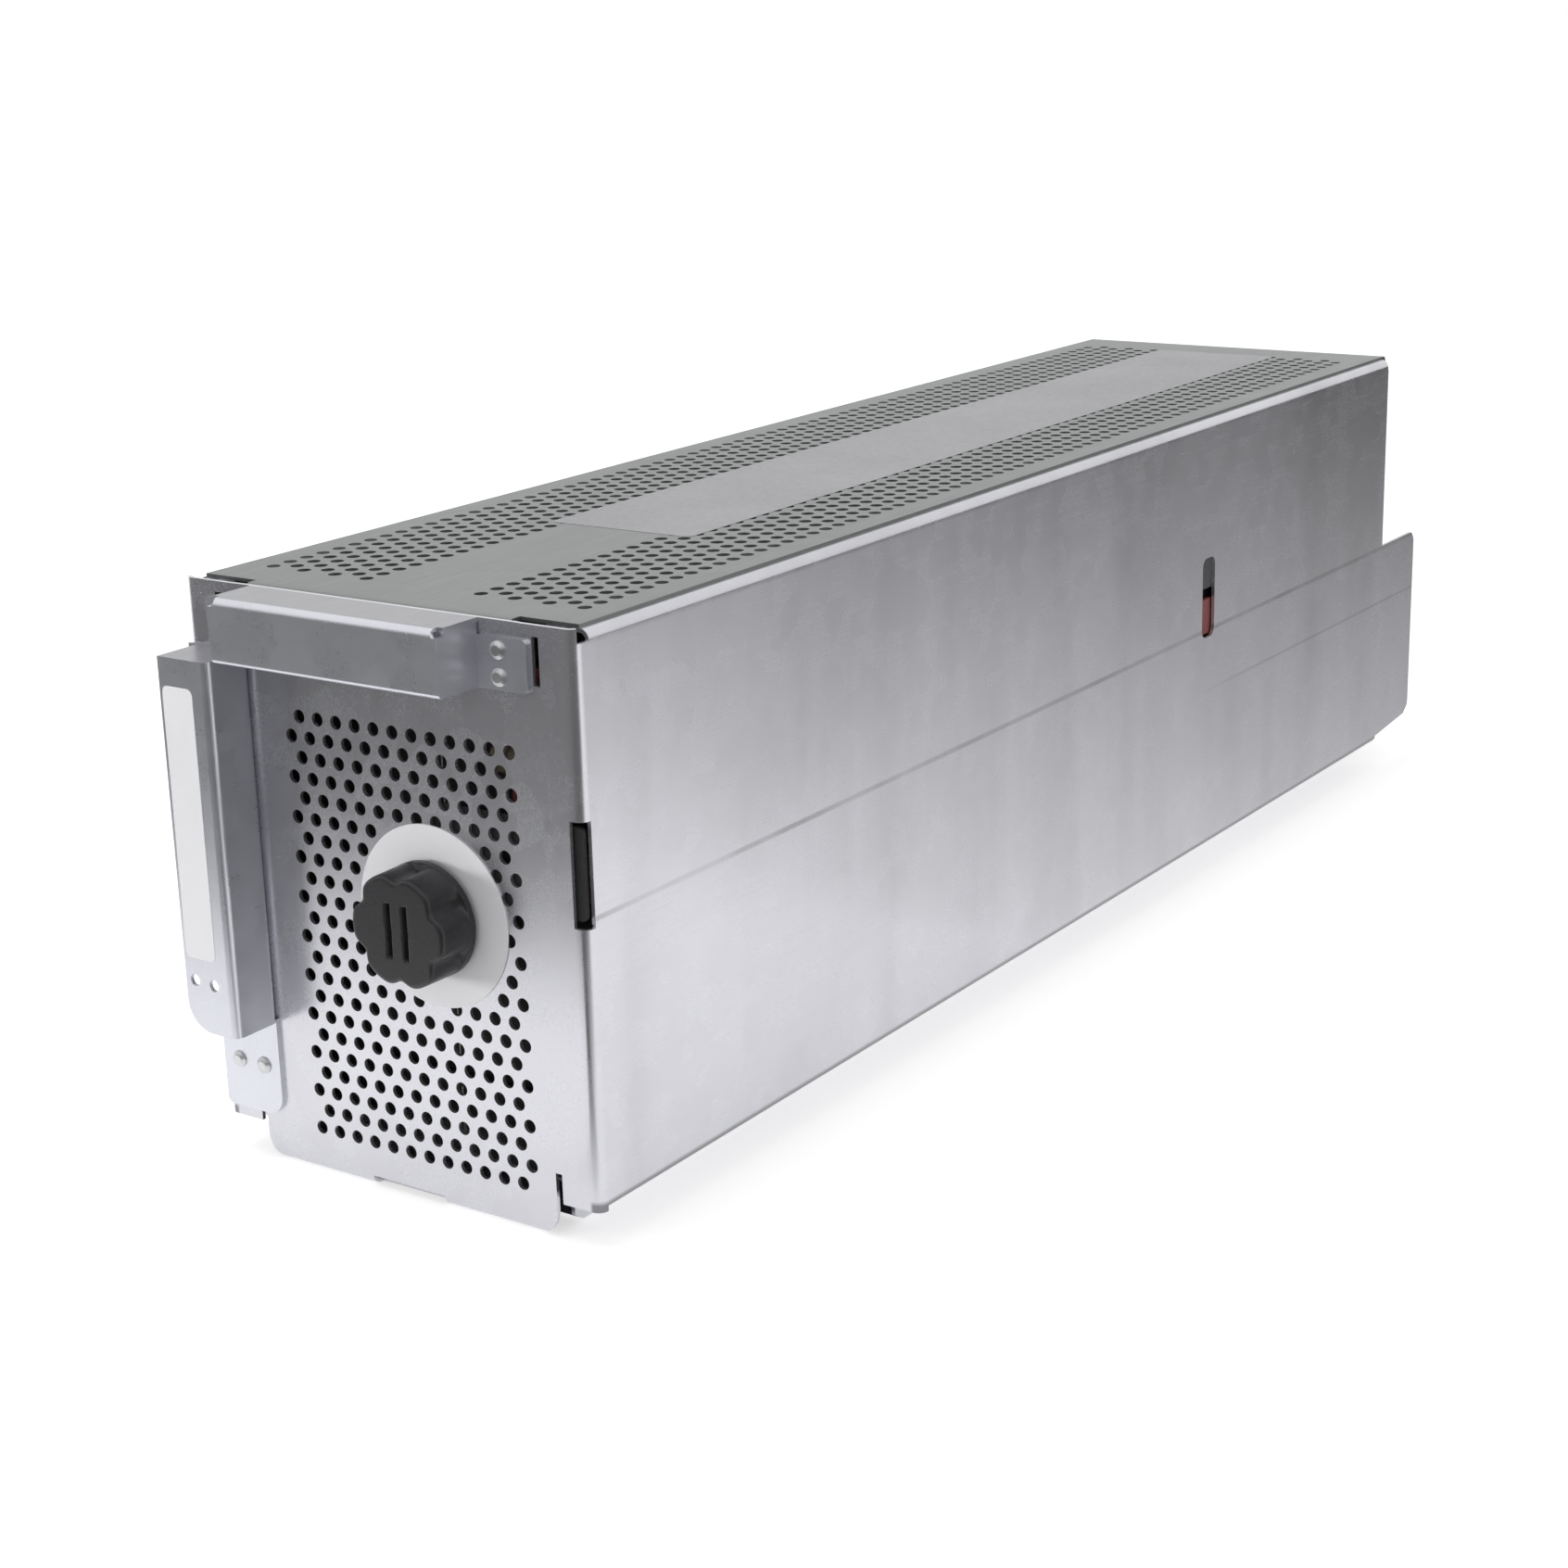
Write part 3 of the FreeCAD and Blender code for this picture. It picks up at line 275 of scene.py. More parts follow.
lip_start = bend - arc - 1.0
lip_end = bend - arc - 3.5
below = np.concatenate([[lip_end, lip_start], lines((bend - arc, bend, 6)), [4, 5, 6, 7, 8]])
top_bend = np.round(flange_top - bend + arc / 6 * np.arange(7), 3)
flange_line = top_bend[6] + flange_width
above = [145.0, 151.0, tab_slit_low, flange_rise, *top_bend[:5], height, top_bend[6], flange_line]
case_v = np.unique(np.round(np.concatenate([v_field, below, above]), 4))
print("case grid:", len(case_u), "by", len(case_v))

# %% [markdown]
# Folding is two steps. In plan, the distance along the sheet becomes a straight front, a quarter turn
# of radius 3, a straight side and, above the cheeks, a second quarter turn into the rear flange. In
# height, the walls turn inwards at the top and at the shoulder, and only the front runs straight down
# into the lip, which turns back under.

# %% Folding the case
def quarter(distance):
    """Angle of a bend after that much of the sheet has entered it, between 0 and a right angle."""
    return np.clip(distance / bend, 0, math.pi / 2)


def side_height(v):
    """Heights on the side walls for the grid's lines, through matching knots."""
    k = v_field
    knots = [bend - arc, 3, 4, 5, 6, 7, 8, low_line, k[17], k[16], k[15], k[14], k[7], k[6], k[0],
             *top_bend[3:5], height, top_bend[6], flange_line]
    wall = shoulder + bend
    shoulder_bend = list(np.linspace(wall - arc, wall, 7))
    heights = [wall - arc - shoulder_width, *shoulder_bend, slot_low, slot_low + corner_round,
               cheek_top, cheek_top + cheek_step, slot_high - corner_round, slot_high, k[0],
               *top_bend[3:], flange_line]
    return np.interp(v, knots, heights)


def fold_case(u, v):
    """x, y and z of the case's outer face for places u, v of the flat sheet.

    Plan: x and y follow a straight line, a circle of the bend's radius, and straight lines again.
    Height: z follows v, and each flange moves along the inward normal of the plan.
    """
    s = np.abs(u)
    hand = np.where(u < 0, -1.0, 1.0)
    on_side = s > corner_u + 0.1
    w = np.where(s > 51, side_height(v), v)
    folds = w > cheek_top + cheek_step / 2
    first = quarter(s - flat_half)
    along = np.clip(s - corner_u, 0, None)
    straight = rail_end - bend
    second = np.where(folds, quarter(along - straight), 0)
    rest = np.where(folds, np.clip(along - straight - arc, 0, None), 0)
    run = np.where(folds, np.minimum(along, straight), along)
    x = np.minimum(s, flat_half) + bend * np.sin(first) - bend * (1 - np.cos(second)) - rest
    y = bend * (1 - np.cos(first)) + run + bend * np.sin(second)
    inward = first + second
    top = np.where(on_side, quarter(w - (flange_top - bend)), 0)
    wall = np.where(on_side, shoulder + bend, bend)
    w = np.where(on_side, w, np.where(s > 51, np.where(v < low_line - 0.01, v, w - bend * (w < 14)), v))
    low = quarter(wall - w)
    spare = np.clip(wall - w - arc, 0, None)
    spare += np.where(on_side, np.clip(w - (flange_top - bend) - arc, 0, None), 0)
    offset = bend * (1 - np.cos(top)) + bend * (1 - np.cos(low)) + spare
    ceiling = np.where(on_side, flange_top - bend, height)
    z = np.clip(w, wall, ceiling) + bend * np.sin(top) - bend * np.sin(low)
    ramp = np.clip((y - rail_end) / (cheek_end - rail_end), 0, 1) * (s > rear_u) * ~folds
    z = z + 3.0 * ramp * (cheek_top - z) / (cheek_top - wall)
    tip = np.clip(y - (cheek_end - 4), 0, None) * (s > rear_u) * ~folds
    edge = np.clip(4 - np.minimum(cheek_top - z, z - wall - 3.0), 0, 4)
    y = y - tip * (1 - np.sqrt(np.clip(1 - (edge / 4) ** 2, 0, 1)))
    over = np.clip(x - (keel_half - lip_corner), 0, None) * ~on_side * (v < 8.01) * (s <= keel_half + 0.01)
    round_half = np.sqrt(np.clip(lip_corner ** 2 - np.clip(8 - z, 0, 8) ** 2, 0, None)) / lip_corner
    x = x - over * (1 - round_half)
    notch = (v < 4) & (s < 22)
    x = np.where(notch, np.interp(x, [0, 11.9, lip_notch, 22.1], [0, 10.5, 13.4, 22.1]), x)
    x = x - offset * np.sin(inward)
    y = y + offset * np.cos(inward)
    return hand * x, y, z


def case_metal(u, v):
    """True where the flat sheet has metal: the outline less its notches, slits and slots."""
    s = np.abs(u)
    front = s < corner_u
    gap = (s > corner_u) & (s < side_u(corner_gap))
    side = s > side_u(corner_gap)
    w = side_height(v)
    lip = (s < keel_half) & ~((s < lip_notch) & (v > lip_start) & (v < bend))
    metal = front & (v < height) & ((v > low_line) | lip)
    metal &= ~((s > keel_half) & (s < keel_half + foot_slit) & (v < v_field[-3]))
    in_tab_slit = (s > keel_half + tab_slit[0]) & (s < keel_half + tab_slit[1])
    metal &= ~(in_tab_slit & (v > tab_slit_low) & (v < top_bend[1]))
    metal &= ~((s > flat_half + 4 * arc / 6) & (v > top_bend[0]))
    metal |= gap & (v > low_line) & (v < top_bend[0])
    wall = side & (s < rear_u) & (v > bend - arc) & ~((s < side_u(flange_start)) & (v > top_bend[0]))
    cheek = (s > rear_u) & (w > shoulder + bend) & (w < cheek_top) & (s < side_u(cheek_end))
    flange = (s > rear_u) & (s < flange_u) & (w > cheek_top + cheek_step) & (v < flange_rise)
    metal |= wall | cheek | flange
    bolt_slot = (u > bolt_slot_front) & (u < side_u(bolt_slot_back)) & (w > slot_low) & (w < slot_high)
    rear_slot = (u > side_u(side_slot[0])) & (u < side_u(side_slot[1])) & (w > slot_low) & (w < slot_high)
    return metal & ~bolt_slot & ~rear_slot


# %% [markdown]
# The front's holes stand in rows, each shifted by half a pitch, and stay clear of the ground under the
# round escutcheon. They are truly round here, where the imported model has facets.

# %% The case
row, column = np.meshgrid(np.arange(field_rows), np.arange(field_columns), indexing="ij")
hole_x = field_x - pitch * (field_columns - 0.5) / 2 + pitch * (column + np.where(row % 2 == 0, 0.5, 0.0))
hole_z = field_top - row_step * row
clear = np.hypot(hole_x - knob_x, hole_z - knob_z) > disc_radius
front_holes = np.stack([hole_x[clear], hole_z[clear]], 1)
rear_window = (side_u(side_slot[0]), side_u(side_slot[1]), v_field[17], v_field[6],
               corner_round, row_step / 2)
case = punched_sheet("case_sheet", case_u, case_v, case_metal, fold_case, front_holes, segments=3,
                     windows=[rear_window])
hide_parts("case_wrap")
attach(case, "housing")
print(len(front_holes), "holes in the front")

# %% [markdown]
# The cover is punched too, in two long fields, with the rows running back. It is one grid as well: u
# runs across and v runs back, and the ends turn down over the front and rear edges.

# %% The cover
cover_half = half_width - bend
cover_bend = 2.0
cover_arc = cover_bend * math.pi / 2
cover_low, cover_high = (np.array(corner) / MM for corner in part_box("top_cover"))
cover_start, cover_end = cover_low[1] - front_y, cover_high[1] - front_y
first_row, rows_each = 20.6, 7
first_hole, hole_count = 22.0, 73
across = first_row + row_step / 2 * np.arange(-1, 2 * rows_each)
cover_u = np.unique(np.round(np.concatenate([across, -across, [-cover_half, cover_half, 0, 9, -9]]), 4))
back = first_hole + pitch / 2 * np.arange(-1, 2 * hole_count + 1)
bend_front = cover_start + cover_bend
bend_rear = cover_end - cover_bend
drop = 12.0
cover_v = np.unique(np.round(np.concatenate([
    back, [6.0, 12.0, bend_rear - 4], lines((bend_front - cover_arc, bend_front, 5)),
    lines((bend_rear, bend_rear + cover_arc, 5)),
    [bend_front - cover_arc - drop, bend_rear + cover_arc + drop]]), 4))


def fold_cover(u, v):
    """Flat top, then a quarter turn of radius 2 and a straight drop at each end."""
    ahead = np.clip((bend_front - v) / cover_bend, 0, math.pi / 2)
    behind = np.clip((v - bend_rear) / cover_bend, 0, math.pi / 2)
    fall = np.clip(bend_front - v - cover_arc, 0, None) + np.clip(v - bend_rear - cover_arc, 0, None)
    y = np.clip(v, bend_front, bend_rear) - cover_bend * (np.sin(ahead) - np.sin(behind))
    z = height - cover_bend * (2 - np.cos(ahead) - np.cos(behind)) - fall
    return u, y, z


def cover_metal(u, v):
    """All but the notched front corners; the front hook is narrower still."""
    s = np.abs(u)
    corner = (s > across[10]) & (v < 6.0)
    hook = (s > across[6]) & (v < bend_front - cover_arc)
    return ~(corner | hook)


row, place_back = np.meshgrid(np.arange(rows_each), np.arange(hole_count), indexing="ij")
cover_x = first_row + row_step * row
cover_y = first_hole + pitch * (place_back + np.where(row % 2 == 0, 0.0, 0.5))
one_field = np.stack([cover_x.ravel(), cover_y.ravel()], 1)
cover_holes = np.concatenate([one_field, one_field * [-1, 1]])
cover = punched_sheet("cover_sheet", cover_u, cover_v, cover_metal, fold_cover, cover_holes,
                      gauge=cover_gauge)
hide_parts("top_cover")
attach(cover, "housing")
print(len(cover_holes), "holes in the cover")

# %% [markdown]
# The knob is moulded in black plastic. A lathe shape with a wavy radius describes it: the angle round
# the knob and the way from its back edge over the rim to its centre are the two parameters.

# %% The knob
knob_radius = (knob_high[0] - knob_low[0]) / 2
knob_face, knob_back = knob_low[1] - front_y, knob_high[1] - front_y
base_height = 2.6   # plain ring next to the panel
rim_round = 1.4
flute_depth = 2.1
groove_middle, groove_half_width, groove_half_length = 2.9, 0.7, 7.5
groove_depth, groove_edge = 2.4, 0.9


def knob_surface(around=216):
    """Points of the knob: radius and depth along a profile, with six flutes pressed into the radius.

    The flute's depth is its weight times the sixth-order cosine raised to the third power. The face
    carries a grip bar between two grooves: box distances, turned into depth by a smooth step.
    """
    r = knob_radius
    base = knob_back - base_height
    rim = [(r - 0.25 - rim_round * (1 - math.cos(a)), knob_face + rim_round * (1 - math.sin(a)), 1.0)
           for a in np.linspace(0, math.pi / 2, 6)]
    outer = [(0.0, knob_back, 0), (r - 0.8, knob_back, 0), (r, knob_back - 0.5, 0),
             (r, base + 0.6, 0), (r - 0.05, base + 0.15, 0), (r - 0.1, base, 0.3),
             (r - 0.1, base - 0.8, 0.9), (r - 0.15, -9, 1)]
    face = [(rho, knob_face, max(0.0, min(1.0, (rho - 7) / 5))) for rho in np.linspace(r - 2.0, 0, 36)]
    radius, depth, weight = np.array(outer + rim + face).T
    theta = 2 * math.pi * np.arange(around) / around
    flute = (0.5 - 0.5 * np.cos(6 * theta)) ** 3
    rho = radius[:, None] - flute_depth * weight[:, None] * flute[None]
    x = rho * np.cos(theta)
    z = rho * np.sin(theta)
    y = np.repeat(depth[:, None], around, 1)
    box = np.maximum(np.abs(np.abs(x) - groove_middle) - groove_half_width,
                     np.abs(z) - groove_half_length)
    sunk = np.clip(0.5 - box / groove_edge, 0, 1)
    on_face = (np.arange(len(radius)) >= len(outer) + len(rim))[:, None]
    y = y + groove_depth * on_face * sunk * sunk * (3 - 2 * sunk)
    return x + knob_x, y, z + knob_z


def wrapped_grid(name, x, y, z):
    """Mesh of a grid whose second parameter closes on itself; the first and last rows are points."""
    rows, around = x.shape
    number = np.arange(rows * around).reshape(rows, around)
    following = np.roll(number, -1, 1)
    quads = np.stack([number[:-1], following[:-1], following[1:], number[1:]], -1).reshape(-1, 4)
    piece = new_piece(name, x.ravel(), y.ravel(), z.ravel(), quads.tolist())
    weld(piece.data)
    reworked(piece.data, face_outwards)
    return piece


knob = settle(wrapped_grid("turn_knob", *knob_surface()), 50)
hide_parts("locking_knob")
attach(knob, "knob")

# %% [markdown]
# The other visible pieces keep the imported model's shape. Their meshes come as loose triangles, so a
# copy is welded, its edges are broken by a tiny bevel as a press or a mould leaves them, and the copy
# stands for the piece.

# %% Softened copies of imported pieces
bodies = frame["record"]["behaviour"]["bodies"]
body_of_node = {node: body for body, names in bodies.items() for node in names}
slot_of_node = {part["node"]: part["material_slot"] for part in frame["record"]["subparts"]}
visible = {"keel_channel": 0.0, "rear_panel": 0.0, "top_handle": 0.25, "side_handle": 0.25,
           "top_handle_rivets": 0.0, "side_handle_rivets": 0.0, "rear_rivets": 0.0, "cover_screws": 0.12,
           "escutcheon": 0.12, "knob_bush": 0.0, "latch_bolt": 0.15, "power_connector": 0.3,
           "power_contacts": 0.1, "connector_screws": 0.12, "signal_connector": 0.2}


def softened(node, edge):
    """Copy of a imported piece: triangles joined to flat faces, edges bevelled by that many mm.

    Weighted normals then keep the large faces flat up to their edge, so only the bends shade round.
    """
    mesh = nodes[node].data.copy()
    weld(mesh)
    reworked(mesh, join_flat)
    piece = bpy.data.objects.new(node + "_finished", mesh)
    bpy.context.scene.collection.objects.link(piece)
    settle(piece)
    if edge:
        bevel = piece.modifiers.new("broken edge", "BEVEL")
        bevel.width = edge * MM
        bevel.segments = 2
        bevel.limit_method = "ANGLE"
        bevel.angle_limit = math.radians(40)
    flat = piece.modifiers.new("flat faces", "WEIGHTED_NORMAL")
    flat.weight = 100
    flat.keep_sharp = not edge
    graph = bpy.context.evaluated_depsgraph_get()
    piece.data = bpy.data.meshes.new_from_object(piece.evaluated_get(graph))
    piece.modifiers.clear()
    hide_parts(node)
    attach(piece, body_of_node[node])
    return piece


finished = {node: softened(node, edge) for node, edge in visible.items()}
print(len(finished), "pieces softened")

# %% [markdown]
# A plate of plain pale film lies along the cover, where such a unit carries its notices, and a smaller
# one on the side handle. Both are left bare. Each is one thin sheet with rounded corners, so a ring of
# points at two levels is enough.

# %% The bare plates
def film(name, outline, level, axes, corner, thickness=0.12):
    """Thin plate with rounded corners, from the level inwards, on the cover or on the side handle."""
    (u0, u1), (v0, v1) = outline
    rim = []
    for u, v, start in ((u1 - corner, v1 - corner, 0), (u0 + corner, v1 - corner, 90),
                        (u0 + corner, v0 + corner, 180), (u1 - corner, v0 + corner, 270)):
        for angle in np.radians(start + np.linspace(0, 90, 7)):
            rim.append((u + corner * math.cos(angle), v + corner * math.sin(angle)))
    count = len(rim)
    u, v = np.tile(np.array(rim), (2, 1)).T
    if axes == "XY":
        x, y, z = u, v, np.repeat([level, level - thickness], count)
    else:
        x, y, z = u, np.repeat([level, level + thickness], count), v
    faces = [tuple(range(count)), tuple(range(2 * count - 1, count - 1, -1))]
    faces += [(i, i + count, (i + 1) % count + count, (i + 1) % count) for i in range(count)]
    piece = new_piece(name, x, y, z, faces)
    reworked(piece.data, face_outwards)
    return piece


film_rise = 0.1
cover_film = film("cover_film", ((-25, 27), (109, 517)), height + film_rise, "XY", 3.0)
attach(cover_film, "housing")
handle_corner = np.array(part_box("side_handle")[0]) / MM
handle_face = handle_corner[1] - front_y
handle_film = film("handle_film", ((handle_corner[0] + 4.5, handle_corner[0] + 16), (66, 146)),
                   handle_face - film_rise, "XZ", 2.0)
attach(handle_film, "housing")

# %% [markdown]
# Four strips of closed-cell foam hold the blocks off the sheet metal. Cut foam keeps nearly square
# corners but swells a little between them, which a superquadric says in one line: a box whose edges
# are powers of sine and cosine.

# %% Foam strips
def foam_strip(name, node, power=0.22):
    """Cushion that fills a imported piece's box.

    Along the longest axis the place is the half length times sine to that power, and the section
    shrinks by cosine to that power; round the section the same powers of cosine and sine repeat.
    """
    low, high = (np.array(corner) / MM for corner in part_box(node))
    middle, half = (low + high) / 2, (high - low) / 2
    order = np.argsort(-half)
    up = np.linspace(-math.pi / 2, math.pi / 2, 41)[:, None]
    turn = (2 * math.pi * np.arange(56) / 56)[None]

    def bulged(value):
        """Signed power, which turns a round wave into one with soft corners."""
        return np.sign(value) * np.abs(value) ** power

    points = [None, None, None]
    points[order[0]] = middle[order[0]] + half[order[0]] * bulged(np.sin(up)) + 0 * turn
    points[order[1]] = middle[order[1]] + half[order[1]] * bulged(np.cos(up)) * bulged(np.cos(turn))
    points[order[2]] = middle[order[2]] + half[order[2]] * bulged(np.cos(up)) * bulged(np.sin(turn))
    strip = settle(wrapped_grid(name, points[0], points[1] - front_y, points[2]), 60)
    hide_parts(node)
    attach(strip, "housing")
    return strip


foams = [foam_strip(node + "_cut", node)
         for node in ("top_foam", "left_side_pad", "right_side_pad", "rear_foam")]
print(len(foams), "foam strips")

# %% [markdown]
# Every finish below starts from the Principled shader and a few small node groups: noise on Object
# coordinates, a ramp, a mix of two colours and plain arithmetic. Each is a function that adds its
# nodes to a tree and returns the output socket, so that they chain like ordinary calls.

# %% Nodes that the materials share
def shader(name, base, metallic, roughness):
    """New material with a Principled shader, and helpers to reach its nodes."""
    material = bpy.data.materials.new(name)
    material.use_nodes = True
    tree = material.node_tree
    principled = tree.nodes["Principled BSDF"]
    principled.inputs["Base Color"].default_value = (*base, 1)
    principled.inputs["Metallic"].default_value = metallic
    principled.inputs["Roughness"].default_value = roughness
    return material, tree, principled


def noise_on(tree, scale, stretch=(1, 1, 1), detail=4.0):
    """Noise on Object coordinates, stretched by scaling each axis."""
    where = tree.nodes.new("ShaderNodeTexCoord")
    mapping = tree.nodes.new("ShaderNodeMapping")
    mapping.inputs["Scale"].default_value = stretch
    texture = tree.nodes.new("ShaderNodeTexNoise")
    texture.inputs["Scale"].default_value = scale
    texture.inputs["Detail"].default_value = detail
    tree.links.new(where.outputs["Object"], mapping.inputs["Vector"])
    tree.links.new(mapping.outputs["Vector"], texture.inputs["Vector"])
    return texture.outputs["Fac"], mapping.outputs["Vector"]


def ramp(tree, factor, low, high, start=0.3, end=0.7):
    """Map Range from start..end to low..high."""
    node = tree.nodes.new("ShaderNodeMapRange")
    for socket, value in zip(("From Min", "From Max", "To Min", "To Max"), (start, end, low, high)):
        node.inputs[socket].default_value = value
    tree.links.new(factor, node.inputs["Value"])
    return node.outputs["Result"]


def tinted(tree, factor, first, second):
    """Mix of two colours by a factor; each is three numbers or another node's output."""
    mix = tree.nodes.new("ShaderNodeMix")
    mix.data_type = "RGBA"
    tree.links.new(factor, mix.inputs[0])
    for socket, colour in ((mix.inputs[6], first), (mix.inputs[7], second)):
        if isinstance(colour, tuple):
            socket.default_value = (*colour, 1)
        else:
            tree.links.new(colour, socket)
    return mix.outputs[2]


def math_node(tree, operation, first, second):
    """Two-input arithmetic on sockets or numbers."""
    node = tree.nodes.new("ShaderNodeMath")
    node.operation = operation
    for socket, value in zip(node.inputs, (first, second)):
        if isinstance(value, (int, float)):
            socket.default_value = value
        else:
            tree.links.new(value, socket)
    return node.outputs[0]


def coordinates(tree, output="Object"):
    """x, y and z sockets of a Texture Coordinate output; Object is the place in metres."""
    where = tree.nodes.new("ShaderNodeTexCoord")
    split = tree.nodes.new("ShaderNodeSeparateXYZ")
    tree.links.new(where.outputs[output], split.inputs["Vector"])
    return [split.outputs[axis] for axis in "XYZ"]


def near(tree, value, middle, half):
    """1 where a value is at the middle, falling to 0 at half away from it."""
    away = math_node(tree, "ABSOLUTE", math_node(tree, "SUBTRACT", value, middle), 0)
    return ramp(tree, away, 1.0, 0.0, half * 0.4, half)


# %% [markdown]
# A cartridge that slides in and out of a bay gets marked. The bay's rail rubs a long line along each
# side wall, and a shorter, fainter one near the rear. Wiping leaves upright streaks and smudges. The
# bottom bend is painted darker as painted shade, and so are the faces of the handles that look up.
# Each of these is a factor between 0 and 1 that mixes a dark grey into the zinc.

# %% Marks of use and painted shade
# Dark grey for signs of use and for painted shade.
grime_and_shade = (0.12, 0.115, 0.12)
rub_height, far_rub_height = 0.0945, 0.0715


def wear_and_shade(tree):
    """Rub lines, streaks and smudges of the side walls, added up, with painted shade on the bottom bend.
    """
    x, y, z = coordinates(tree)
    on_wall = ramp(tree, math_node(tree, "ABSOLUTE", x, 0), 0.0, 1.0, 0.0655, 0.0665)
    broken, _ = noise_on(tree, 30.0, (1, 1, 0.2), 3.0)
    streak, _ = noise_on(tree, 1.0, (1, 26, 3), 3.0)
    smudge, _ = noise_on(tree, 7.0, detail=6.0)
    rub = math_node(tree, "MULTIPLY", near(tree, z, rub_height, 0.0011), ramp(tree, broken, 0.10, 0.42))
    far_rub = math_node(tree, "MULTIPLY", near(tree, z, far_rub_height, 0.0007),
                        ramp(tree, y, 0.0, 0.22, 0.08, 0.14))
    # Painted shade: the bottom bend is painted dark, standing in for the shadow beneath the case.
    lower = ramp(tree, z, 0.80, 0.0, 0.0128, 0.0142)
    marks_and_shade = math_node(tree, "ADD", rub, far_rub)
    marks_and_shade = math_node(tree, "ADD", marks_and_shade, ramp(tree, streak, 0.0, 0.16, 0.48, 0.80))
    marks_and_shade = math_node(tree, "ADD", marks_and_shade, ramp(tree, smudge, 0.0, 0.16, 0.50, 0.80))
    marks_and_shade = math_node(tree, "MAXIMUM", marks_and_shade, lower)
    return math_node(tree, "MULTIPLY", marks_and_shade, on_wall)


def painted_top_shade(tree):
    """Painted shade on faces that look up: a ramp on the upward part of the normal."""
    upward = coordinates(tree, "Normal")[2]
    # Painted shade: faces that look up are painted darker, standing in for a dimmer reflection.
    return ramp(tree, upward, 0.0, 0.62, 0.90, 0.995)


# %% [markdown]
# Galvanised sheet is steel under zinc. The zinc freezes in crystals, called spangle, that catch the
# light a little differently, and rolling and handling leave fine scratches along the sheet. Voronoi
# cells give the spangle and act on colour and roughness; broad noise clouds the colour, and noise
# stretched along the sheet varies the roughness as scratches do.

# %% Galvanised steel
def galvanised(name, base, roughness, metallic=0.85, soil_and_shade=None):
    """Zinc-coated sheet: spangle, cloudy bloom, fine scratches, and a given factor that mixes in dark grey
    for signs of use and painted shade.
    """
    material, tree, principled = shader(name, base, metallic, roughness)
    cloud, _ = noise_on(tree, 9.0, detail=5.0)
    scratch, _ = noise_on(tree, 60.0, (14, 0.6, 14), 3.0)
    _, place = noise_on(tree, 1.0)
    cells = tree.nodes.new("ShaderNodeTexVoronoi")
    cells.inputs["Scale"].default_value = 120.0
    tree.links.new(place, cells.inputs["Vector"])
    grey = tree.nodes.new("ShaderNodeSeparateColor")
    tree.links.new(cells.outputs["Color"], grey.inputs["Color"])
    spangle = ramp(tree, grey.outputs[0], -0.5, 0.5, 0.0, 1.0)
    shade = math_node(tree, "ADD", ramp(tree, cloud, 0.25, 0.75),
                      math_node(tree, "MULTIPLY", spangle, 0.22))
    dark = tuple(c * 0.90 for c in base)
    light = tuple(min(1.0, c * 1.08) for c in base)
    colour = tinted(tree, shade, dark, light)
    if soil_and_shade:
        # Mixes in dark grey for signs of use and painted shade.
        colour = tinted(tree, soil_and_shade(tree), colour, grime_and_shade)
    tree.links.new(colour, principled.inputs["Base Color"])
    rough = math_node(tree, "ADD", ramp(tree, scratch, roughness - 0.02, roughness + 0.03),
                      math_node(tree, "MULTIPLY", spangle, 0.04))
    tree.links.new(rough, principled.inputs["Roughness"])
    return material


# %% [markdown]
# Moulded plastic has a fine grain from the eroded mould: two noises of different size act on bump and
# roughness. The same function serves foam, film and sleeves with other numbers.

# %% Moulded and coated materials
def moulded(name, base, roughness=0.5, grain=900.0, depth=0.15, spread=0.12, metallic=0.0):
    """Plain material with a fine grain in its surface and a slight change of tone."""
    material, tree, principled = shader(name, base, metallic, roughness)
    fine, _ = noise_on(tree, grain, detail=2.0)
    broad, _ = noise_on(tree, 18.0)
    dark = tuple(c * (1 - spread) for c in base)
    light = tuple(min(1.0, c * (1 + spread)) for c in base)
    tree.links.new(tinted(tree, ramp(tree, broad, 0.0, 1.0), dark, light), principled.inputs["Base Color"])
    tree.links.new(ramp(tree, fine, roughness - 0.06, roughness + 0.08), principled.inputs["Roughness"])
    bump = tree.nodes.new("ShaderNodeBump")
    bump.inputs["Strength"].default_value = depth
    bump.inputs["Distance"].default_value = 0.0003
    tree.links.new(fine, bump.inputs["Height"])
    tree.links.new(bump.outputs["Normal"], principled.inputs["Normal"])
    return material


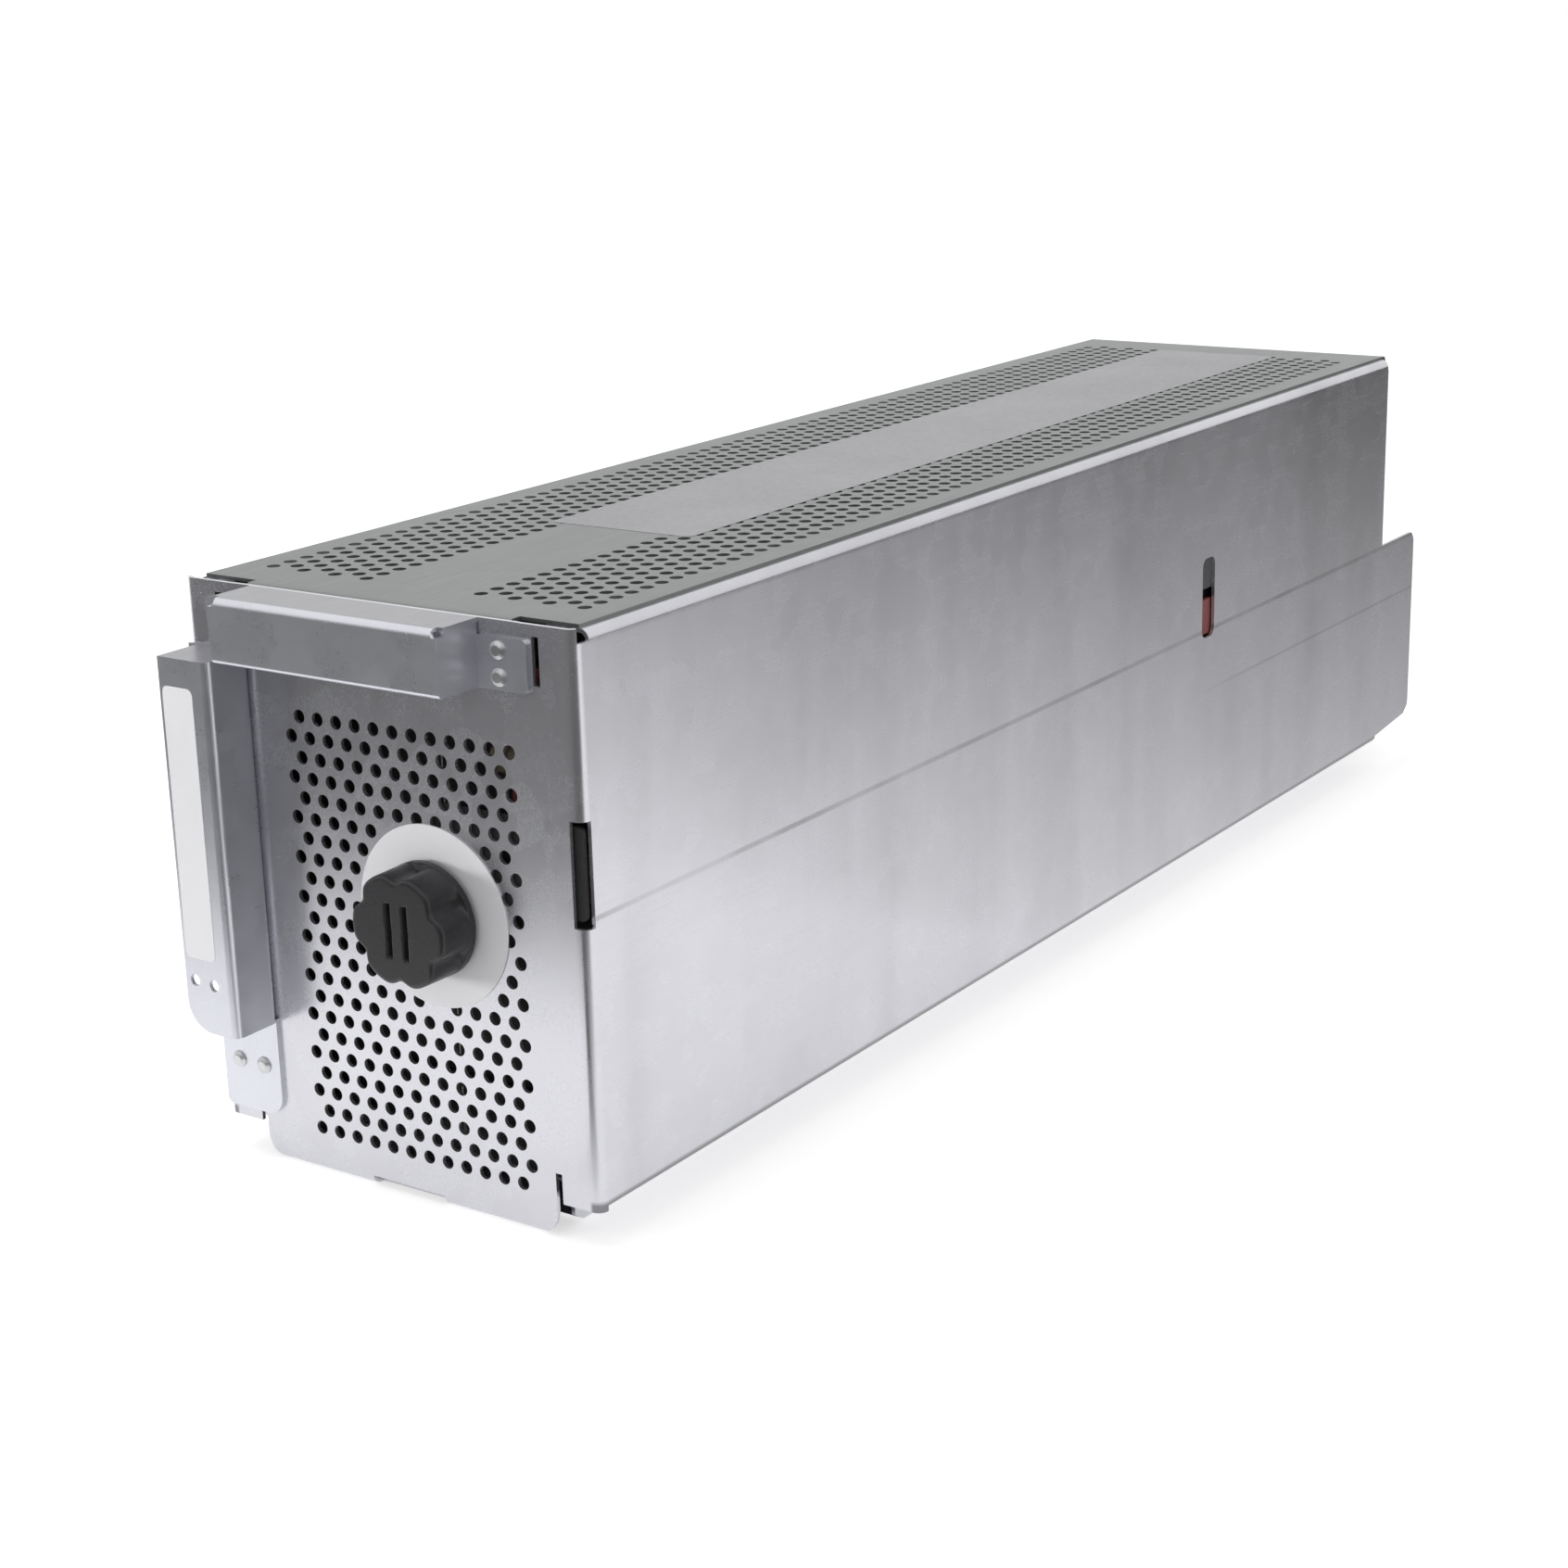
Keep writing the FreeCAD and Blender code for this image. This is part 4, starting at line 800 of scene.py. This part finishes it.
materials = {
    # The side walls get rub lines, streaks, smudges and painted shade on the bottom bend.
    "galvanised": galvanised("galvanised", (0.65, 0.65, 0.69), 0.25, soil_and_shade=wear_and_shade),
    "cover_steel": galvanised("cover_steel", (0.24, 0.255, 0.25), 0.42),
    # The handles' faces that look up get painted shade.
    "handle_steel": galvanised("handle_steel", (0.70, 0.71, 0.76), 0.30, soil_and_shade=painted_top_shade),
    "rivet_steel": moulded("rivet_steel", (0.62, 0.62, 0.63), 0.32, 400, 0.05, 0.06, 0.9),
    "mechanism_steel": moulded("mechanism_steel", (0.012, 0.012, 0.013), 0.6, 300, 0.08, 0.1),
    "bush_brass": moulded("bush_brass", (0.62, 0.46, 0.22), 0.35, 300, 0.05, 0.08, 0.9),
    "contact_metal": moulded("contact_metal", (0.72, 0.55, 0.30), 0.3, 300, 0.04, 0.06, 0.9),
    "knob_plastic": moulded("knob_plastic", (0.020, 0.0185, 0.021), 0.38, 1400, 0.2),
    "escutcheon_plastic": moulded("escutcheon_plastic", (0.82, 0.82, 0.84), 0.45, 700, 0.06, 0.03),
    "cover_plate": moulded("cover_plate", (0.36, 0.355, 0.37), 0.5, 500, 0.05, 0.08),
    "battery_case": moulded("battery_case", (0.022, 0.020, 0.020), 0.6, 500, 0.15),
    "insulation_red": moulded("insulation_red", (0.28, 0.07, 0.065), 0.5, 600, 0.1),
    "insulation_black": moulded("insulation_black", (0.022, 0.022, 0.023), 0.5, 600, 0.1),
    "foam_grey": moulded("foam_grey", (0.09, 0.09, 0.095), 0.9, 350, 0.5),
    "insulator_sheet": moulded("insulator_sheet", (0.62, 0.60, 0.52), 0.5, 500, 0.05),
    "fuse_ceramic": moulded("fuse_ceramic", (0.30, 0.24, 0.17), 0.4, 200, 0.03),
    "connector_plastic": moulded("connector_plastic", (0.05, 0.05, 0.055), 0.5, 900, 0.15),
}


def dress(piece, slot_name):
    """Give every slot of a piece the one material."""
    piece.data.materials.clear()
    piece.data.materials.append(materials[slot_name])


for node, obj in [*nodes.items(), *finished.items()]:
    dress(obj, slot_of_node[node])
dress(case, "galvanised")
dress(cover, "cover_steel")
dress(knob, "knob_plastic")
for strip in foams:
    dress(strip, "foam_grey")
dress(cover_film, "cover_plate")
dress(handle_film, "escutcheon_plastic")
print(len(materials), "materials")

# %% [markdown]
# Bare metal shows its surroundings, so the studio matters as much as the zinc. The floor and the world
# are white to the camera and in reflections, while the floor still takes the shadow. Cards that
# fade from white to dark lie on it, seen by reflections alone: the steel mirrors them, which gives the
# front its dark top and the side its dark far end.

# %% The floor
scene = bpy.context.scene
scene.view_settings.view_transform = "Standard"


def seen_white(tree):
    """1 for rays from the camera, mirrors and glass, and 0 for the light that falls on things."""
    path = tree.nodes.new("ShaderNodeLightPath")
    either = math_node(tree, "MAXIMUM", path.outputs["Is Camera Ray"], path.outputs["Is Glossy Ray"])
    return math_node(tree, "MAXIMUM", either, path.outputs["Is Transmission Ray"])


def level(x0, x1, y0, y1, z):
    """Corners of a level rectangle, in metres."""
    return [(x0, y0, z), (x1, y0, z), (x1, y1, z), (x0, y1, z)]


def studio_card(name, corners, material):
    """Flat card of the studio through its corners."""
    mesh = bpy.data.meshes.new(name)
    mesh.from_pydata(corners, [], [tuple(range(len(corners)))])
    mesh.materials.append(material)
    card = bpy.data.objects.new(name, mesh)
    scene.collection.objects.link(card)
    return card


floor_material, floor_tree, floor_paint = shader("floor_paint", (0.80, 0.80, 0.80), 0.0, 0.9)
floor_paint.inputs["Specular IOR Level"].default_value = 0.0
floor_paint.inputs["Emission Color"].default_value = (1, 1, 1, 1)
floor_glow = 0.56
floor_tree.links.new(math_node(floor_tree, "MULTIPLY", seen_white(floor_tree), floor_glow),
                     floor_paint.inputs["Emission Strength"])
far = 45.0
studio_card("floor", level(-far, far, -far, far, 0.0), floor_material)

# %% [markdown]
# The cards come next. Each glows by a formula of one coordinate, so its brightness fades across it.
# Light that falls on the metal, the camera and the shadows all pass them by: only reflections see them.
# The side card dims to the power of the distance along the case. The three front cards turn dark a
# little way before the front, each at its own distance, and the far card closes the horizon.

# %% Cards for the reflections
def gradient_card(name, corners, strength):
    """Card that only mirrors see, with its emission from strength(tree, (x, y, z) sockets)."""
    paint, tree, principled = shader(name + "_paint", (0, 0, 0), 0.0, 1.0)
    principled.inputs["Specular IOR Level"].default_value = 0.0
    principled.inputs["Emission Color"].default_value = (1, 1, 1, 1)
    tree.links.new(strength(tree, coordinates(tree)), principled.inputs["Emission Strength"])
    card = studio_card(name, corners, paint)
    card.visible_camera = False
    card.visible_diffuse = False
    card.visible_shadow = False


def side_fade(tree, place):
    """0.19 to the power of y: white beside the front, a fifth after a metre."""
    return math_node(tree, "POWER", 0.19, place[1])


def front_fade(dark, dark_from, white_from):
    """Strength of a front card: dark beyond dark_from, white from white_from on towards the case."""
    return lambda tree, place: ramp(tree, place[1], dark, 1.0, dark_from, white_from)


card_lift = 0.001
side_edge, left_part, right_part = 0.072, 0.03, 0.12
front_edge, corner_edge, right_edge = -0.43, -0.31, -0.34
front_reach = -8
far_y, far_height = -2.201, 1.3
gradient_card("side_card", level(side_edge, 6, 0, 10, card_lift), side_fade)
gradient_card("front_card", level(-6, left_part, front_reach, front_edge, card_lift),
              front_fade(0.09, -0.53, front_edge))
gradient_card("corner_card", level(left_part, right_part, front_reach, corner_edge, card_lift),
              front_fade(0.07, -0.40, corner_edge))
gradient_card("right_card", level(right_part, 4, front_reach, right_edge, card_lift),
              front_fade(0.07, -0.48, right_edge))
gradient_card("far_card", [(-4, far_y, 0), (4, far_y, 0), (4, far_y, far_height), (-4, far_y, far_height)],
              lambda tree, place: ramp(tree, place[2], 0.12, 1.0, 0.25, far_height))

# %% [markdown]
# The world lights the metal at a plain level and is white wherever it is seen. Two area lamps add a
# direction: the key stands low at the left, so the knob's shadow falls to the right, and a weak large
# one hangs above.

# %% World and lamps
world = bpy.data.worlds.new("studio")
world.use_nodes = True
backdrop = world.node_tree.nodes["Background"]
backdrop.inputs["Color"].default_value = (1, 1, 1, 1)
world_light = 0.55
world.node_tree.links.new(ramp(world.node_tree, seen_white(world.node_tree), world_light, 1.0, 0.0, 1.0),
                          backdrop.inputs["Strength"])
scene.world = world


def lamp(name, place, aim, size, power):
    """Square area lamp that points from its place to its aim, both in metres."""
    data = bpy.data.lights.new(name, "AREA")
    data.size = size
    data.energy = power
    obj = bpy.data.objects.new(name, data)
    obj.location = place
    obj.rotation_euler = (Vector(aim) - Vector(place)).to_track_quat("-Z", "Y").to_euler()
    obj.visible_glossy = False
    scene.collection.objects.link(obj)


lamp("key", (-1.5, -1.5, 0.12), (0, -0.2, 0.08), 0.5, 22)
lamp("top", (-0.5, -0.3, 2.4), (0, 0, 0.1), 1.6, 20)

# %% [markdown]
# The camera stands to the right of the front and looks down on the cartridge at about 17 degrees, with
# a slightly long lens. Its place is counted from the front face.

# %% Camera
camera_data = bpy.data.cameras.new("camera")
camera_data.lens = 63.85
camera_data.sensor_width = 36.0
camera = bpy.data.objects.new("camera", camera_data)
camera.location = np.array([500.7, -537.1 + front_y, 335.8]) * MM
turn_left, look_down, roll = 34.41, 16.61, -1.525
camera.rotation_mode = "QUATERNION"
camera.rotation_quaternion = (Quaternion((0, 0, 1), math.radians(turn_left))
                              @ Quaternion((1, 0, 0), math.radians(90 - look_down))
                              @ Quaternion((0, 0, 1), math.radians(roll)))
scene.collection.objects.link(camera)
scene.camera = camera

# %% [markdown]

# %% Bring the scene up to date
bpy.context.view_layer.update()
